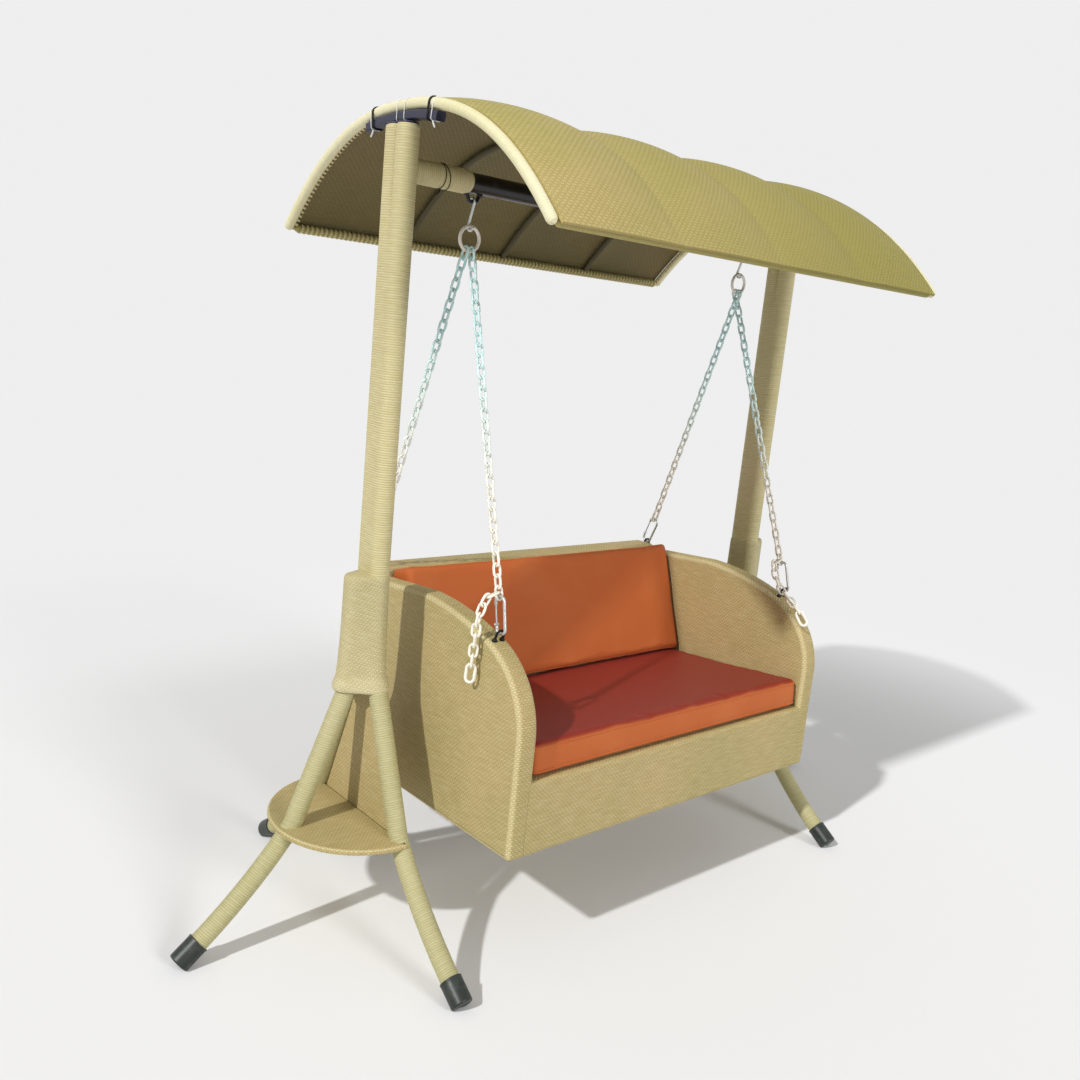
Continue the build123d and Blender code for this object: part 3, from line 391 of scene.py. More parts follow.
@dataclass(frozen=True)
class Pose:
    """Place, axes from longest to shortest, and extents of one solid."""

    centre: Array
    axes: Array
    extents: Array

    @classmethod
    def of(cls, points: Array) -> "Pose":
        """Finds the axes along which the points are spread most, next and least."""
        middle = points.mean(0)
        axes = np.linalg.svd(points - middle, full_matrices=False)[2]
        spread = (points - middle) @ axes.T
        longest_first = np.argsort(-np.ptp(spread, axis=0))
        axes, spread = axes[longest_first], spread[:, longest_first]
        centre = middle + (spread.max(0) + spread.min(0)) / 2 @ axes
        return cls(centre, axes, np.ptp(spread, axis=0))

    def place(self, local: Points) -> Array:
        """Points given along the three axes, in space."""
        return self.centre + np.asarray(local, float) @ self.axes


# ---- finishes -----------------------------------------------------------------------------------
def linear(code: str) -> tuple[float, float, float, float]:
    """Linear colour of an sRGB hex code such as "C6B97A"."""
    values = [int(code[i:i + 2], 16) / 255 for i in (0, 2, 4)]
    curve = [v / 12.92 if v <= 0.04045 else ((v + 0.055) / 1.055) ** 2.4 for v in values]
    return (*curve, 1.0)


def empty_tree(owner: Material | bpy.types.World) -> Tree:
    """Node tree of a material or a world, with nothing in it."""
    owner.use_nodes = True
    owner.node_tree.nodes.clear()
    return owner.node_tree


def add(tree: Tree, kind: str, settings: dict[Any, Any] | None = None,
        links: dict[Any, Any] | None = None) -> Node:
    """Adds a node to a tree.

    Args:
        tree: node tree to add to.
        kind: the node's class name without "ShaderNode".
        settings: values by input socket, or by property name after a dot.
        links: outputs by the input socket that they feed.

    Returns:
        The new node.
    """
    node = tree.nodes.new("ShaderNode" + kind)
    for key, value in (settings or {}).items():
        if isinstance(key, str) and key.startswith("."):
            setattr(node, key[1:], value)
        else:
            node.inputs[key].default_value = value
    for key, output in (links or {}).items():
        tree.links.new(output, node.inputs[key])
    return node


def calc(tree: Tree, operation: str, *terms: Any) -> Socket:
    """Output of a Math node whose terms are numbers or other outputs."""
    settings: dict[Any, Any] = {".operation": operation}
    links = {}
    for i, term in enumerate(terms):
        kind = links if isinstance(term, Socket) else settings
        kind[i] = term
    return add(tree, "Math", settings, links).outputs[0]


def noise(tree: Tree, place: Socket, scale: float, detail: float) -> Socket:
    """Value of a noise texture at a place."""
    return add(tree, "TexNoise", {"Scale": scale, "Detail": detail}, {"Vector": place}).outputs[0]


def remap(tree: Tree, value: Socket, start: float, end: float, low: float = 0.0,
          high: float = 1.0) -> Socket:
    """Value that runs from low to high as another runs from start to end, and stays there beyond."""
    return add(tree, "MapRange", {1: start, 2: end, 3: low, 4: high}, {0: value}).outputs[0]


def parts(tree: Tree, vector: Socket) -> bpy.types.bpy_prop_collection:
    """The three parts of a vector."""
    return add(tree, "SeparateXYZ", links={0: vector}).outputs


def blended(tree: Tree, share: Socket, first: Any, second: Any) -> Socket:
    """Colour between two colours, each given as a hex code or an output."""
    mix = add(tree, "Mix", {".data_type": "RGBA"}, {0: share})
    for socket, value in ((mix.inputs[6], first), (mix.inputs[7], second)):
        if isinstance(value, str):
            socket.default_value = linear(value)
        else:
            tree.links.new(value, socket)
    return mix.outputs[2]


def bumped(tree: Tree, height: Socket, strength: float, distance: float) -> Socket:
    """Normal of a surface with a height of up to a distance on it."""
    return add(tree, "Bump", {"Strength": strength, "Distance": distance}, {"Height": height}).outputs[0]


def feed(tree: Tree, shader: Node, links: dict[str, Socket], **fixed: float) -> None:
    """Links outputs to a shader's inputs and sets its other inputs.

    Args:
        tree: node tree of the shader.
        shader: the shader.
        links: outputs by the input that they feed.
        fixed: numbers by input, with _ for the spaces in its name.
    """
    for name, output in links.items():
        tree.links.new(output, shader.inputs[name])
    for name, value in fixed.items():
        shader.inputs[name.replace("_", " ")].default_value = value


class Finish:
    """A finish that becomes one Blender material, made when it is first asked for."""

    name: str

    def material(self) -> Material:
        """The finish's material."""
        found = bpy.data.materials.get(self.name)
        if found:
            return found
        made = bpy.data.materials.new(self.name)
        tree = empty_tree(made)
        shader = add(tree, "BsdfPrincipled")
        add(tree, "OutputMaterial", links={0: shader.outputs[0]})
        self.paint(tree, shader)
        return made

    def paint(self, tree: Tree, shader: Node) -> None:
        """Adds the finish's nodes and sets the shader.

        Args:
            tree: node tree of the material.
            shader: its Principled BSDF, already linked to the output.
        """
        raise NotImplementedError


class Lay(Enum):
    """How the strands of wicker lie."""

    WOVEN = "over one, under one, across upright canes"
    WOUND = "side by side round a tube"


@dataclass(frozen=True)
class Wicker(Finish):
    """Extruded polyethylene reed, woven or wound by hand.

    Round strands a few millimetres thick throw small shadows between them, and no two strands have quite
    the same straw colour. The strands are drawn a little coarser than real ones, which would be too fine
    to show. Where a far colour is given, the finish turns to it along X.
    """

    name: str
    lay: Lay
    base: str = "BDA772"
    pale: str = "DDCF9F"
    dark: str = "5A4C2E"
    tint: str = "AD9F66"
    strand: float = 6.0 * MM
    cell: float = 12.0 * MM
    relief: float = 1.2 * MM
    depth: float = 0.5
    roughness: float = 0.5
    even_run: float = 50 * MM
    far: str | None = None
    far_start: float = -0.75
    far_end: float = 0.45

    def paint(self, tree: Tree, shader: Node) -> None:
        """Weft strands rise over and dip under the canes; colour follows strand, painted gap shade, tone and
        patch.
        """
        chart = add(tree, "TexCoord").outputs
        across, along, _ = parts(tree, chart["UV"])
        row = calc(tree, "DIVIDE", along, self.strand)
        middle = calc(tree, "MULTIPLY_ADD", calc(tree, "FRACT", row), 2.0, -1.0)
        height = calc(tree, "SUBTRACT", 1.0, calc(tree, "MULTIPLY", middle, middle))
        if self.lay is Lay.WOVEN:
            height = self.woven(tree, height, row, calc(tree, "DIVIDE", across, self.cell))
        key = add(tree, "CombineXYZ", links={0: calc(tree, "DIVIDE", across, self.even_run), 1: row})
        lighter = remap(tree, noise(tree, key.outputs[0], 1.0, 2.0), 0.4, 0.7, 0.0, 0.3)
        patch = remap(tree, noise(tree, chart["Object"], 2.6, 3.0), 0.38, 0.66, 0.0, 0.8)
        # The tone attribute paints the reed paler: a painted highlight on the rounded edges of plates, and
        # paler collar rims and roof creases.
        pale_tone_and_highlight = add(tree, "Attribute", {".attribute_name": "tone"}).outputs["Fac"]
        body = blended(tree, patch, self.base, self.tint)
        body = blended(tree, lighter, body, self.pale)
        body = blended(tree, pale_tone_and_highlight, body, self.pale)
        if self.far:
            reach = remap(tree, parts(tree, chart["Object"])[0], self.far_start, self.far_end)
            body = blended(tree, reach, body, self.far)
        # Painted shade: the gaps between strands are darkened towards the dark colour.
        gap = remap(tree, height, 0.0, 0.55, self.depth, 0.0)
        fibre = calc(tree, "MULTIPLY", noise(tree, chart["UV"], 900.0, 1.0), 0.1)
        feed(tree, shader, {
            "Base Color": blended(tree, gap, body, self.dark),
            "Roughness": remap(tree, height, 0.2, 1.0, self.roughness + 0.25, self.roughness),
            "Normal": bumped(tree, calc(tree, "ADD", height, fibre), 0.8, self.relief),
        }, Specular_IOR_Level=0.4)

    def woven(self, tree: Tree, profile: Socket, row: Socket, column: Socket) -> Socket:
        """Height of a weave: each strand rises over every other cane, and the next strand over the rest.

        The rise is a cosine along the strand, shifted half a cell from row to row.

        Args:
            tree: node tree of the finish.
            profile: round height across a strand.
            row: place across the strands, in strands.
            column: place along them, in cells.

        Returns:
            The height, 0 to 1.
        """
        shift = calc(tree, "MULTIPLY", calc(tree, "MODULO", calc(tree, "FLOOR", row), 2.0), 0.5)
        swing = calc(tree, "COSINE", calc(tree, "MULTIPLY", calc(tree, "ADD", column, shift), 2 * pi))
        over = calc(tree, "SMOOTH_MIN", calc(tree, "MULTIPLY_ADD", swing, 1.1, 0.75), 1.0, 0.3)
        weft = calc(tree, "MULTIPLY", profile, over)
        canes = calc(tree, "COSINE", calc(tree, "MULTIPLY", column, 4 * pi))
        return calc(tree, "MAXIMUM", weft, calc(tree, "MULTIPLY_ADD", canes, 0.2, 0.2))


@dataclass(frozen=True)
class PaintedSteel(Finish):
    """Mild steel with brushed-on enamel: soft gloss, a faint orange peel, and dull scuffs."""

    name: str
    base: str
    scuff: str
    roughness: float = 0.4
    metallic: float = 0.0
    grain: float = 160.0

    def paint(self, tree: Tree, shader: Node) -> None:
        """Large noise picks where the paint is scuffed; fine noise is its orange peel."""
        place = add(tree, "TexCoord").outputs["Object"]
        scuff_and_edge_highlight = remap(tree, noise(tree, place, 22.0, 5.0), 0.55, 0.72, 0.0, 0.8)
        feed(tree, shader, {
            "Base Color": blended(tree, scuff_and_edge_highlight, self.base, self.scuff),
            "Roughness": remap(tree, scuff_and_edge_highlight, 0.0, 0.8, self.roughness, self.roughness + 0.25),
            "Normal": bumped(tree, noise(tree, place, self.grain, 2.0), 0.25, 0.3 * MM),
        }, Metallic=self.metallic)


@dataclass(frozen=True)
class ZincSteel(Finish):
    """Hot-dipped zinc on chain: pale, faintly spangled, creamy, with a painted sky reflection cooler high
    up.
    """

    name: str
    high: str = "D2F0EE"
    low: str = "F2ECDD"
    grime: str = "98A09A"
    roughness: float = 0.38
    metallic: float = 0.15
    turn_low: float = 1.15
    turn_high: float = 1.55

    def paint(self, tree: Tree, shader: Node) -> None:
        """Colour runs from low to high with height; cells of zinc crystals and grime break it up."""
        place = add(tree, "TexCoord").outputs["Object"]
        # Painted reflection: where high differs from low, it is a cool sky tint painted on the chain's upper
        # part.
        share = remap(tree, parts(tree, place)[2], self.turn_low, self.turn_high)
        body = blended(tree, share, self.low, self.high)
        spangle = add(tree, "TexVoronoi", {"Scale": 240.0}, {"Vector": place}).outputs[0]
        dirt = noise(tree, place, 90.0, 4.0)
        stain = remap(tree, dirt, 0.55, 0.8, 0.0, 0.6)
        feed(tree, shader, {
            "Base Color": blended(tree, stain, body, self.grime),
            "Roughness": remap(tree, spangle, 0.0, 0.6, self.roughness - 0.08, self.roughness + 0.14),
            "Normal": bumped(tree, dirt, 0.2, 0.2 * MM),
        }, Metallic=self.metallic)


@dataclass(frozen=True)
class Rubber(Finish):
    """Moulded black rubber: green-black, dull, with dust in its pores."""

    name: str
    base: str = "161E18"
    dust: str = "454A40"

    def paint(self, tree: Tree, shader: Node) -> None:
        """Dust gathers where the noise is high; fine pores make the bump."""
        place = add(tree, "TexCoord").outputs["Object"]
        dusty = remap(tree, noise(tree, place, 40.0, 4.0), 0.5, 0.8, 0.0, 0.6)
        feed(tree, shader, {
            "Base Color": blended(tree, dusty, self.base, self.dust),
            "Normal": bumped(tree, noise(tree, place, 700.0, 2.0), 0.4, 0.3 * MM),
        }, Roughness=0.42)


@dataclass(frozen=True)
class Cloth(Finish):
    """Solution-dyed acrylic cover cloth: burnt orange, with a soft sheen and painted shade on its redder
    top.

    Its plain weave of half-millimetre threads is drawn four times as coarse, so that it shows close up.
    """

    name: str
    base: str = "B9602F"
    # Colour of the painted shade on the cushions' top.
    shaded_top: str = "8A2A1C"
    faded: str = "C2703F"
    thread: float = 2.0 * MM

    def paint(self, tree: Tree, shader: Node) -> None:
        """Two sets of threads make the bump; tone picks the glossier top, painted darker red as shade."""
        place = add(tree, "TexCoord").outputs["Object"]
        x, y, z = parts(tree, place)
        turns = 2 * pi / self.thread
        warp = calc(tree, "SINE", calc(tree, "MULTIPLY", x, turns))
        weft = calc(tree, "SINE", calc(tree, "MULTIPLY", calc(tree, "ADD", y, z), turns))
        top = add(tree, "Attribute", {".attribute_name": "tone"}).outputs["Fac"]
        fade = remap(tree, noise(tree, place, 5.0, 4.0), 0.45, 0.75, 0.0, 0.5)
        body = blended(tree, fade, self.base, self.faded)
        feed(tree, shader, {
            "Base Color": blended(tree, top, body, self.shaded_top),
            "Roughness": remap(tree, top, 0.0, 1.0, 0.62, 0.42),
            "Normal": bumped(tree, calc(tree, "MULTIPLY", warp, weft), 0.25, 0.4 * MM),
        }, Sheen_Weight=0.03, Sheen_Roughness=0.4, Specular_IOR_Level=0.2)


woven = Wicker("woven_reed", Lay.WOVEN)
collar_weave = Wicker("collar_reed", Lay.WOVEN, base="C4B78A", pale="DED5B2", tint="B8AE7E", depth=0.35)
roof_weave = Wicker("roof_reed", Lay.WOVEN, base="BDAA6C", pale="CDBB7C", tint="A9A052", cell=16 * MM,
                    strand=8 * MM, relief=2.0 * MM, depth=0.45, far="988F44")
# Painted shade: a darker copy of the roof reed for the roof's shaded underside.
shaded_underside_reed = Wicker("shaded_roof_reed", Lay.WOVEN, base="756840", pale="80724A", tint="686038",
                     dark="453D26", cell=16 * MM, strand=8 * MM, depth=0.18)
wound = Wicker("wound_reed", Lay.WOUND, base="C9BC8C", pale="E2DAB6", tint="BDB380", depth=0.3,
               relief=0.8 * MM)
# Painted shade: the wound reed made a little darker for the legs, which stand low and get less light.
leg_reed = Wicker("leg_reed", Lay.WOUND, base="B5AD80", pale="CDC9A8", tint="ABA573", depth=0.3,
                  relief=0.8 * MM)
hoop_reed = Wicker("pale_wound_reed", Lay.WOUND, base="E6DFB8", pale="F2EDD4", tint="DDD6A4",
                   dark="7A6E48", depth=0.25, relief=0.8 * MM)
rail_reed = Wicker("roof_edge_reed", Lay.WOUND, base="AFA164", pale="C4B678", tint="9E954C", depth=0.3,
                   relief=0.8 * MM, far="A2984E")
beam_paint = PaintedSteel("black_enamel", "120F0D", "2C2824", 0.32)
frame_paint = PaintedSteel("dark_primer", "3B382E", "5A5546", 0.55)
rib_paint = PaintedSteel("olive_primer", "4A4428", "5E5836", 0.6)
saddle_enamel = PaintedSteel("blue_black_enamel", "23233A", "3D3D52", 0.35)
iron = PaintedSteel("black_iron", "1C1B18", "4B4236", roughness=0.5, metallic=0.6, grain=400.0)
nylon = PaintedSteel("white_nylon", "E9E9E4", "D5D5CC")
zinc = ZincSteel("zinc_chain", metallic=0.05)
ring_zinc = ZincSteel("cream_zinc", high="EDE4D8", low="EDE4D8")
bright_zinc = ZincSteel("bright_zinc", high="C9CCC8", low="C9CCC8", roughness=0.25, metallic=0.85)
rubber = Rubber("moulded_rubber")
cover = Cloth("cover_cloth")


# ---- stands -------------------------------------------------------------------------------------
@dataclass
class Stands:
    """The two three-legged stands: wound posts, collars, legs with rubber feet, shelves and panels."""

    post_x: float = 0.765
    twin_offset: float = 23.5 * MM
    wrap_radius: float = 27.65 * MM
    groove_start: float = 1.68
    groove_full: float = 1.93
    post_top: float = 0.0
    collar_bottom: float = 0.65
    collar_top: float = 0.955
    collar_low_spread: tuple[float, float] = (52 * MM, 63 * MM)
    collar_high_spread: tuple[float, float] = (25 * MM, 50 * MM)
    collar_swell: float = 1.0 * MM
    collar_rim: float = 5.0 * MM
    collar_rim_height: float = 46 * MM
    collar_lip: float = 0.3
    outer_radius: float = 30 * MM
    leg_radius: float = 25 * MM
    leg_slope: float = 21.5
    leg_top_offset: float = 59 * MM
    bend_height: float = 0.303
    flare_start: float = 37.0
    side_reach: float = 0.502
    outer_reach: float = 0.478
    foot_height: float = 19 * MM
    cap_length: float = 66 * MM
    cap_radius: float = 28.2 * MM
    cap_sole: float = 8 * MM
    pitch: float = 6.0 * MM
    relief: float = 0.6 * MM
    shoulder: float = 7 * MM
    post_faces: int = 64
    post_girth: float = 0.22
    collar_faces: int = 88
    collar_girth: float = 0.5027
    collar_climbs: int = 16
    bell_share: float = 0.85
    bell_power: float = 4.0
    lip_roll: float = 8 * MM
    top_roll: float = 7 * MM
    top_roll_height: float = 14 * MM
    rim_paling: float = 0.3
    leg_hidden: float = 45 * MM
    kink_radius: float = 0.12

    def build(self) -> None:
        """Makes every visible piece of both stands."""
        self.post_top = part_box("post_caps")[0].z
        caps, feet = Piece("post_end_caps"), Piece("rubber_feet")
        for name, side in sides.items():
            self.post(name, side)
            self.post_cap(caps, side)
            self.collar(name, side)
            self.shelf(name, side)
            self.panel(name, side)
            for leg, heading, reach in self.legs():
                path = self.leg_path(heading, reach)
                world = self.world(path, side)
                normal = np.cross(world[-1] - world[0], (0, 0, 1.0))
                along = lengths(world)
                covered = world[along < along[-1] - self.leg_radius]
                piece = Piece(f"{name}_{leg}_leg_reed")
                wind(piece, covered, normal, self.leg_radius, self.pitch, self.relief, 30)
                piece.finish("stand", "wicker", leg_reed, [f"{name}_{leg}_leg"])
                self.foot(feet, world, normal)
            for node in (f"{name}_post_tubes", f"{name}_beam_stub"):
                dress_node(node, frame_paint)
        caps.finish("stand", "saddle_paint", saddle_enamel, ["post_caps"])
        feet.finish("stand", "rubber", rubber, ["foot_caps"])

    def legs(self) -> list[tuple[str, tuple[float, float], float]]:
        """Name, heading on the ground for the left stand, and reach of each leg."""
        return [("front", (0, -1), self.side_reach), ("rear", (0, 1), self.side_reach),
                ("outer", (-1, 0), self.outer_reach)]

    def world(self, points: Array, side: int) -> Array:
        """Points given for the left stand about its post, in their place on either stand."""
        return points * np.array([-side, 1, 1]) + np.array([side * self.post_x, 0, 0])

    def leg_path(self, heading: tuple[float, float], reach: float) -> Array:
        """Leg axis: straight from the collar, an easy kink at the shelf, then an arc out to the foot.

        The arc's chord runs from the kink to the foot, and the arc leaves the kink at the flare's slope, so
        it turns by twice the angle between them.

        Args:
            heading: direction of the leg on the ground.
            reach: distance from the post's axis to the foot.

        Returns:
            Points about the left post, from the top down.
        """
        slope = tan(radians(self.leg_slope))
        top = (self.leg_top_offset - self.leg_hidden * slope, self.collar_bottom + self.leg_hidden)
        bend = (self.leg_top_offset + (self.collar_bottom - self.bend_height) * slope, self.bend_height)
        run, drop = reach - bend[0], bend[1] - self.foot_height
        start = radians(self.flare_start)
        turn = 2 * (np.arctan2(run, drop) - start)
        radius = hypot(run, drop) / (2 * sin(turn / 2))
        angles = start + np.linspace(0, turn, 24)[1:]
        arc = np.stack([bend[0] + radius * (cos(start) - np.cos(angles)),
                        bend[1] - radius * (np.sin(angles) - sin(start))], 1)
        eased = 3
        kink = rounded([top, bend, arc[eased]], self.kink_radius)[:-1]
        flat = np.concatenate([kink, arc[eased:]])
        return np.stack([heading[0] * flat[:, 0], heading[1] * flat[:, 0], flat[:, 1]], 1)

    def foot(self, feet: Piece, world: Array, normal: Array) -> None:
        """Rubber cup: a lathe profile along the leg's end, pressed flat where it meets the ground."""
        end, along = world[-1], unit(world[-1] - world[-6])
        mouth, tip, wall = self.cap_sole - self.cap_length, self.cap_sole, self.cap_radius
        lip, lip_height = 1 * MM, 8 * MM
        corners = [(mouth, 0), (mouth, wall + lip), (mouth + lip_height, wall), (tip, wall), (tip, 0)]
        profile = rounded(corners, [1.2 * MM, 2 * MM, 5 * MM])
        angle = circle(32)
        side, up = unit(np.cross(along, normal)), unit(normal)
        ring = np.cos(angle)[:, None] * side + np.sin(angle)[:, None] * up
        points = end + profile[:, :1, None] * along + profile[:, 1:, None] * ring
        points[..., 2] = np.maximum(points[..., 2], 0)
        feet.grid(points)

    def post_section(self, share: Array, radius: float) -> Array:
        """Outline of the post for each share of its groove.

        With the angle measured from X, an oval's edge is radius / |cos| on its flat side. Two circles have
        offset * |sin| + sqrt(radius^2 - (offset * cos)^2), which dips at the groove. The share blends them.

        Args:
            share: depth of the groove between the tubes, 0 to 1, for each outline.
            radius: radius of the reed round one tube.

        Returns:
            One closed outline for each share.
        """
        angle = circle(self.post_faces)
        wave, rise = np.abs(np.cos(angle)), np.abs(np.sin(angle))
        twin = self.twin_offset * rise + np.sqrt(radius**2 - (self.twin_offset * wave) ** 2)
        oval = np.where(rise * radius <= self.twin_offset * wave, radius / np.maximum(wave, 1e-6), twin)
        reach = oval + (twin - oval) * share[:, None]
        return np.stack([reach * np.cos(angle), reach * np.sin(angle)], -1)

    def post(self, name: str, side: int) -> None:
        """Reed wound round both tubes together, and round each alone above the groove's start."""
        height = np.arange(self.collar_top - 10 * MM, self.post_top, self.pitch / 4)
        height = np.append(height, self.post_top)
        share = np.clip((height - self.groove_start) / (self.groove_full - self.groove_start), 0, 1)
        share = share * share * (3 - 2 * share)
        outline = self.post_section(share, self.wrap_radius)
        turn = circle(self.post_faces) / (2 * pi)
        phase = height[:, None] / self.pitch + turn
        outward = unit(outline)
        near_top = np.clip(1 - (self.post_top - height) / self.shoulder, 0, 1)
        ease = self.shoulder * (1 - np.sqrt(1 - 0.98 * near_top**2))[:, None]
        outline = outline - outward * (ease + self.relief * (1 - strand_swell(phase)))[..., None]
        level = np.broadcast_to(height[:, None, None], (*outline.shape[:2], 1))
        points = self.world(np.concatenate([outline, level], -1), side)
        chart = np.stack([np.broadcast_to(turn * self.post_girth, phase.shape), phase * self.pitch], -1)
        piece = Piece(f"{name}_post_reed").capped(points, chart)
        piece.finish("stand", "wicker", wound, [f"{name}_post_wrap"])

    def post_cap(self, caps: Piece, side: int) -> None:
        """Painted steel lid over both tubes, with an eased edge, inside the shoulder of the reed."""
        low, high = (corner.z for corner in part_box("post_caps"))
        ease = 0.6 * MM
        levels = [(low, ease), (low + ease, 0), (high - ease, 0), (high, ease)]
        rings = []
        for level, inset in levels:
            outline = self.post_section(np.ones(1), self.wrap_radius - self.shoulder / 2 - inset)[0]
            rings.append(np.column_stack([outline, np.full(len(outline), level)]))
        caps.capped(self.world(np.array(rings), side))

    def collar(self, name: str, side: int) -> None:
        """Sleeve woven round the post and the tops of the legs, wider towards its rolled lower edge.

        Each level's outline is a band pulled tight round the two tubes and the outer leg, whose circles move
        apart on the way down, most of it low down as in a bell. The strands climb as they go round.

        Args:
            name: "left" or "right".
            side: -1 for the left stand, 1 for the right one.
        """
        height = np.arange(self.collar_bottom, self.collar_top, self.pitch / 4)
        turn = circle(self.collar_faces) / (2 * pi)
        phase = height[:, None] / self.pitch + self.collar_climbs * turn
        dip = self.relief * (1 - strand_swell(phase))
        rings = []
        for level, depth in zip(height, dip):
            share = (self.collar_top - level) / (self.collar_top - self.collar_bottom)
            flare = (1 - self.bell_share) * share + self.bell_share * share**self.bell_power
            twin, outer = (high + (low - high) * flare
                           for low, high in zip(self.collar_low_spread, self.collar_high_spread))
            swell = self.collar_thickness(level)
            circles = [(0, end * twin, self.wrap_radius + swell) for end in (-1, 1)]
            circles.append((-outer, 0, self.outer_radius + swell))
            outline, outward = hull_ring(circles, self.collar_faces)
            outline = outline - outward * depth[:, None]
            rings.append(np.column_stack([outline, np.full(len(outline), level)]))
        points = self.world(np.array(rings), side)
        chart = np.stack([np.broadcast_to(turn * self.collar_girth, phase.shape), phase * self.pitch], -1)
        # The reed is painted paler towards the lower rim through the tone attribute.
        low_down = np.clip(1 - (height - self.collar_bottom) / self.collar_rim_height, 0, 1)
        tone = np.broadcast_to(low_down[:, None] * self.rim_paling, phase.shape)
        piece = Piece(f"{name}_collar_reed").capped(points, chart, tone)
        piece.finish("stand", "wicker", collar_weave, [f"{name}_collar"])

    def collar_thickness(self, level: float) -> float:
        """How far a collar stands out at a level: a cosine swell at its rim, less a roll at each end.

        A roll is its size times 1 - sqrt(1 - share^2), where the share runs from 0 to 1 towards the end.
        """
        rim = (level - self.collar_bottom) / self.collar_rim_height
        bulge = np.clip((rim - self.collar_lip) / (1 - self.collar_lip), 0, 1)
        curl = max(0, 1 - rim / self.collar_lip)
        near_top = max(0, 1 - (self.collar_top - level) / self.top_roll_height)
        swell = self.collar_swell + self.collar_rim * (0.5 + 0.5 * cos(pi * bulge))
        swell -= self.lip_roll * (1 - (1 - curl**2) ** 0.5)
        return swell - self.top_roll * (1 - (1 - near_top**2) ** 0.5)

    def shelf(self, name: str, side: int) -> None:
        """Half-round woven shelf between the legs, with a rolled edge."""
        low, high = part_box(f"{name}_shelf")
        radius, thickness, edge = high.y, high.z - low.z, 6 * MM
        flat = min(abs(low.x), abs(high.x)) - self.post_x - edge
        angle = np.linspace(pi / 2, 3 * pi / 2, 60)
        arc = np.stack([radius * np.cos(angle), radius * np.sin(angle)], 1)
        arc[:, 0] = np.minimum(arc[:, 0], -flat)
        outline = np.concatenate([arc, arc[:1]])
        points = np.column_stack([outline, np.full(len(outline), (low.z + high.z) / 2)])
        plate(f"{name}_shelf_weave", self.world(points, side), (0, 0, 1), thickness, edge, "stand",
              [f"{name}_shelf"], self.pitch, self.relief)

    def panel(self, name: str, side: int) -> None:
        """Flat woven panel that closes the niche between front and rear legs, down past the shelf's edge."""
        low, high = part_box(f"{name}_niche_panel")
        slope = tan(radians(self.leg_slope))
        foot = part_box(f"{name}_shelf")[0].z
        wide = high.y
        narrow = wide - (high.z - low.z) * slope
        corners = [(-wide, foot), (wide, foot), (narrow, high.z), (-narrow, high.z), (-wide, foot)]
        points = np.array([(0, y, z) for y, z in corners])
        points = np.concatenate([resample(points[i:i + 2], 0.02)[:-1] for i in range(4)] + [points[:1]])
        plate(f"{name}_niche_weave", self.world(points, side), (1, 0, 0), high.x - low.x, 2 * MM, "stand",
              [f"{name}_niche_panel"], self.pitch, 0)


def wind(piece: Piece, path: Array, normal: Any, radius: float, pitch: float, relief: float,
         around: int) -> Piece:
    """Adds a tube wound with round reed, whose strands are real ridges that climb one pitch each turn.

    The radius dips between strands by relief * (1 - swell), where the strand's phase is the length along the
    tube over the pitch, plus the share of a turn.

    Args:
        piece: piece to add to.
        path: centre line, in one plane.
        normal: normal of that plane.
        radius: radius on the strands' tops.
        pitch: width of a strand.
        relief: depth of the dips between strands.
        around: faces round the tube.

    Returns:
        The same piece.
    """
    path = resample(path, pitch / 4)
    path, radii = domed(path, np.full(len(path), radius))
    angle = circle(around)
    phase = lengths(path)[:, None] / pitch + angle / (2 * pi)
    reach = radii[:, None] - np.minimum(relief, radii[:, None] / 3) * (1 - strand_swell(phase))
    section = np.stack([reach * np.cos(angle), reach * np.sin(angle)], -1)
    points = carried(path, normal, section)
    chart = np.stack([np.broadcast_to(angle * radius, phase.shape), phase * pitch], -1)
    return piece.capped(points, chart)


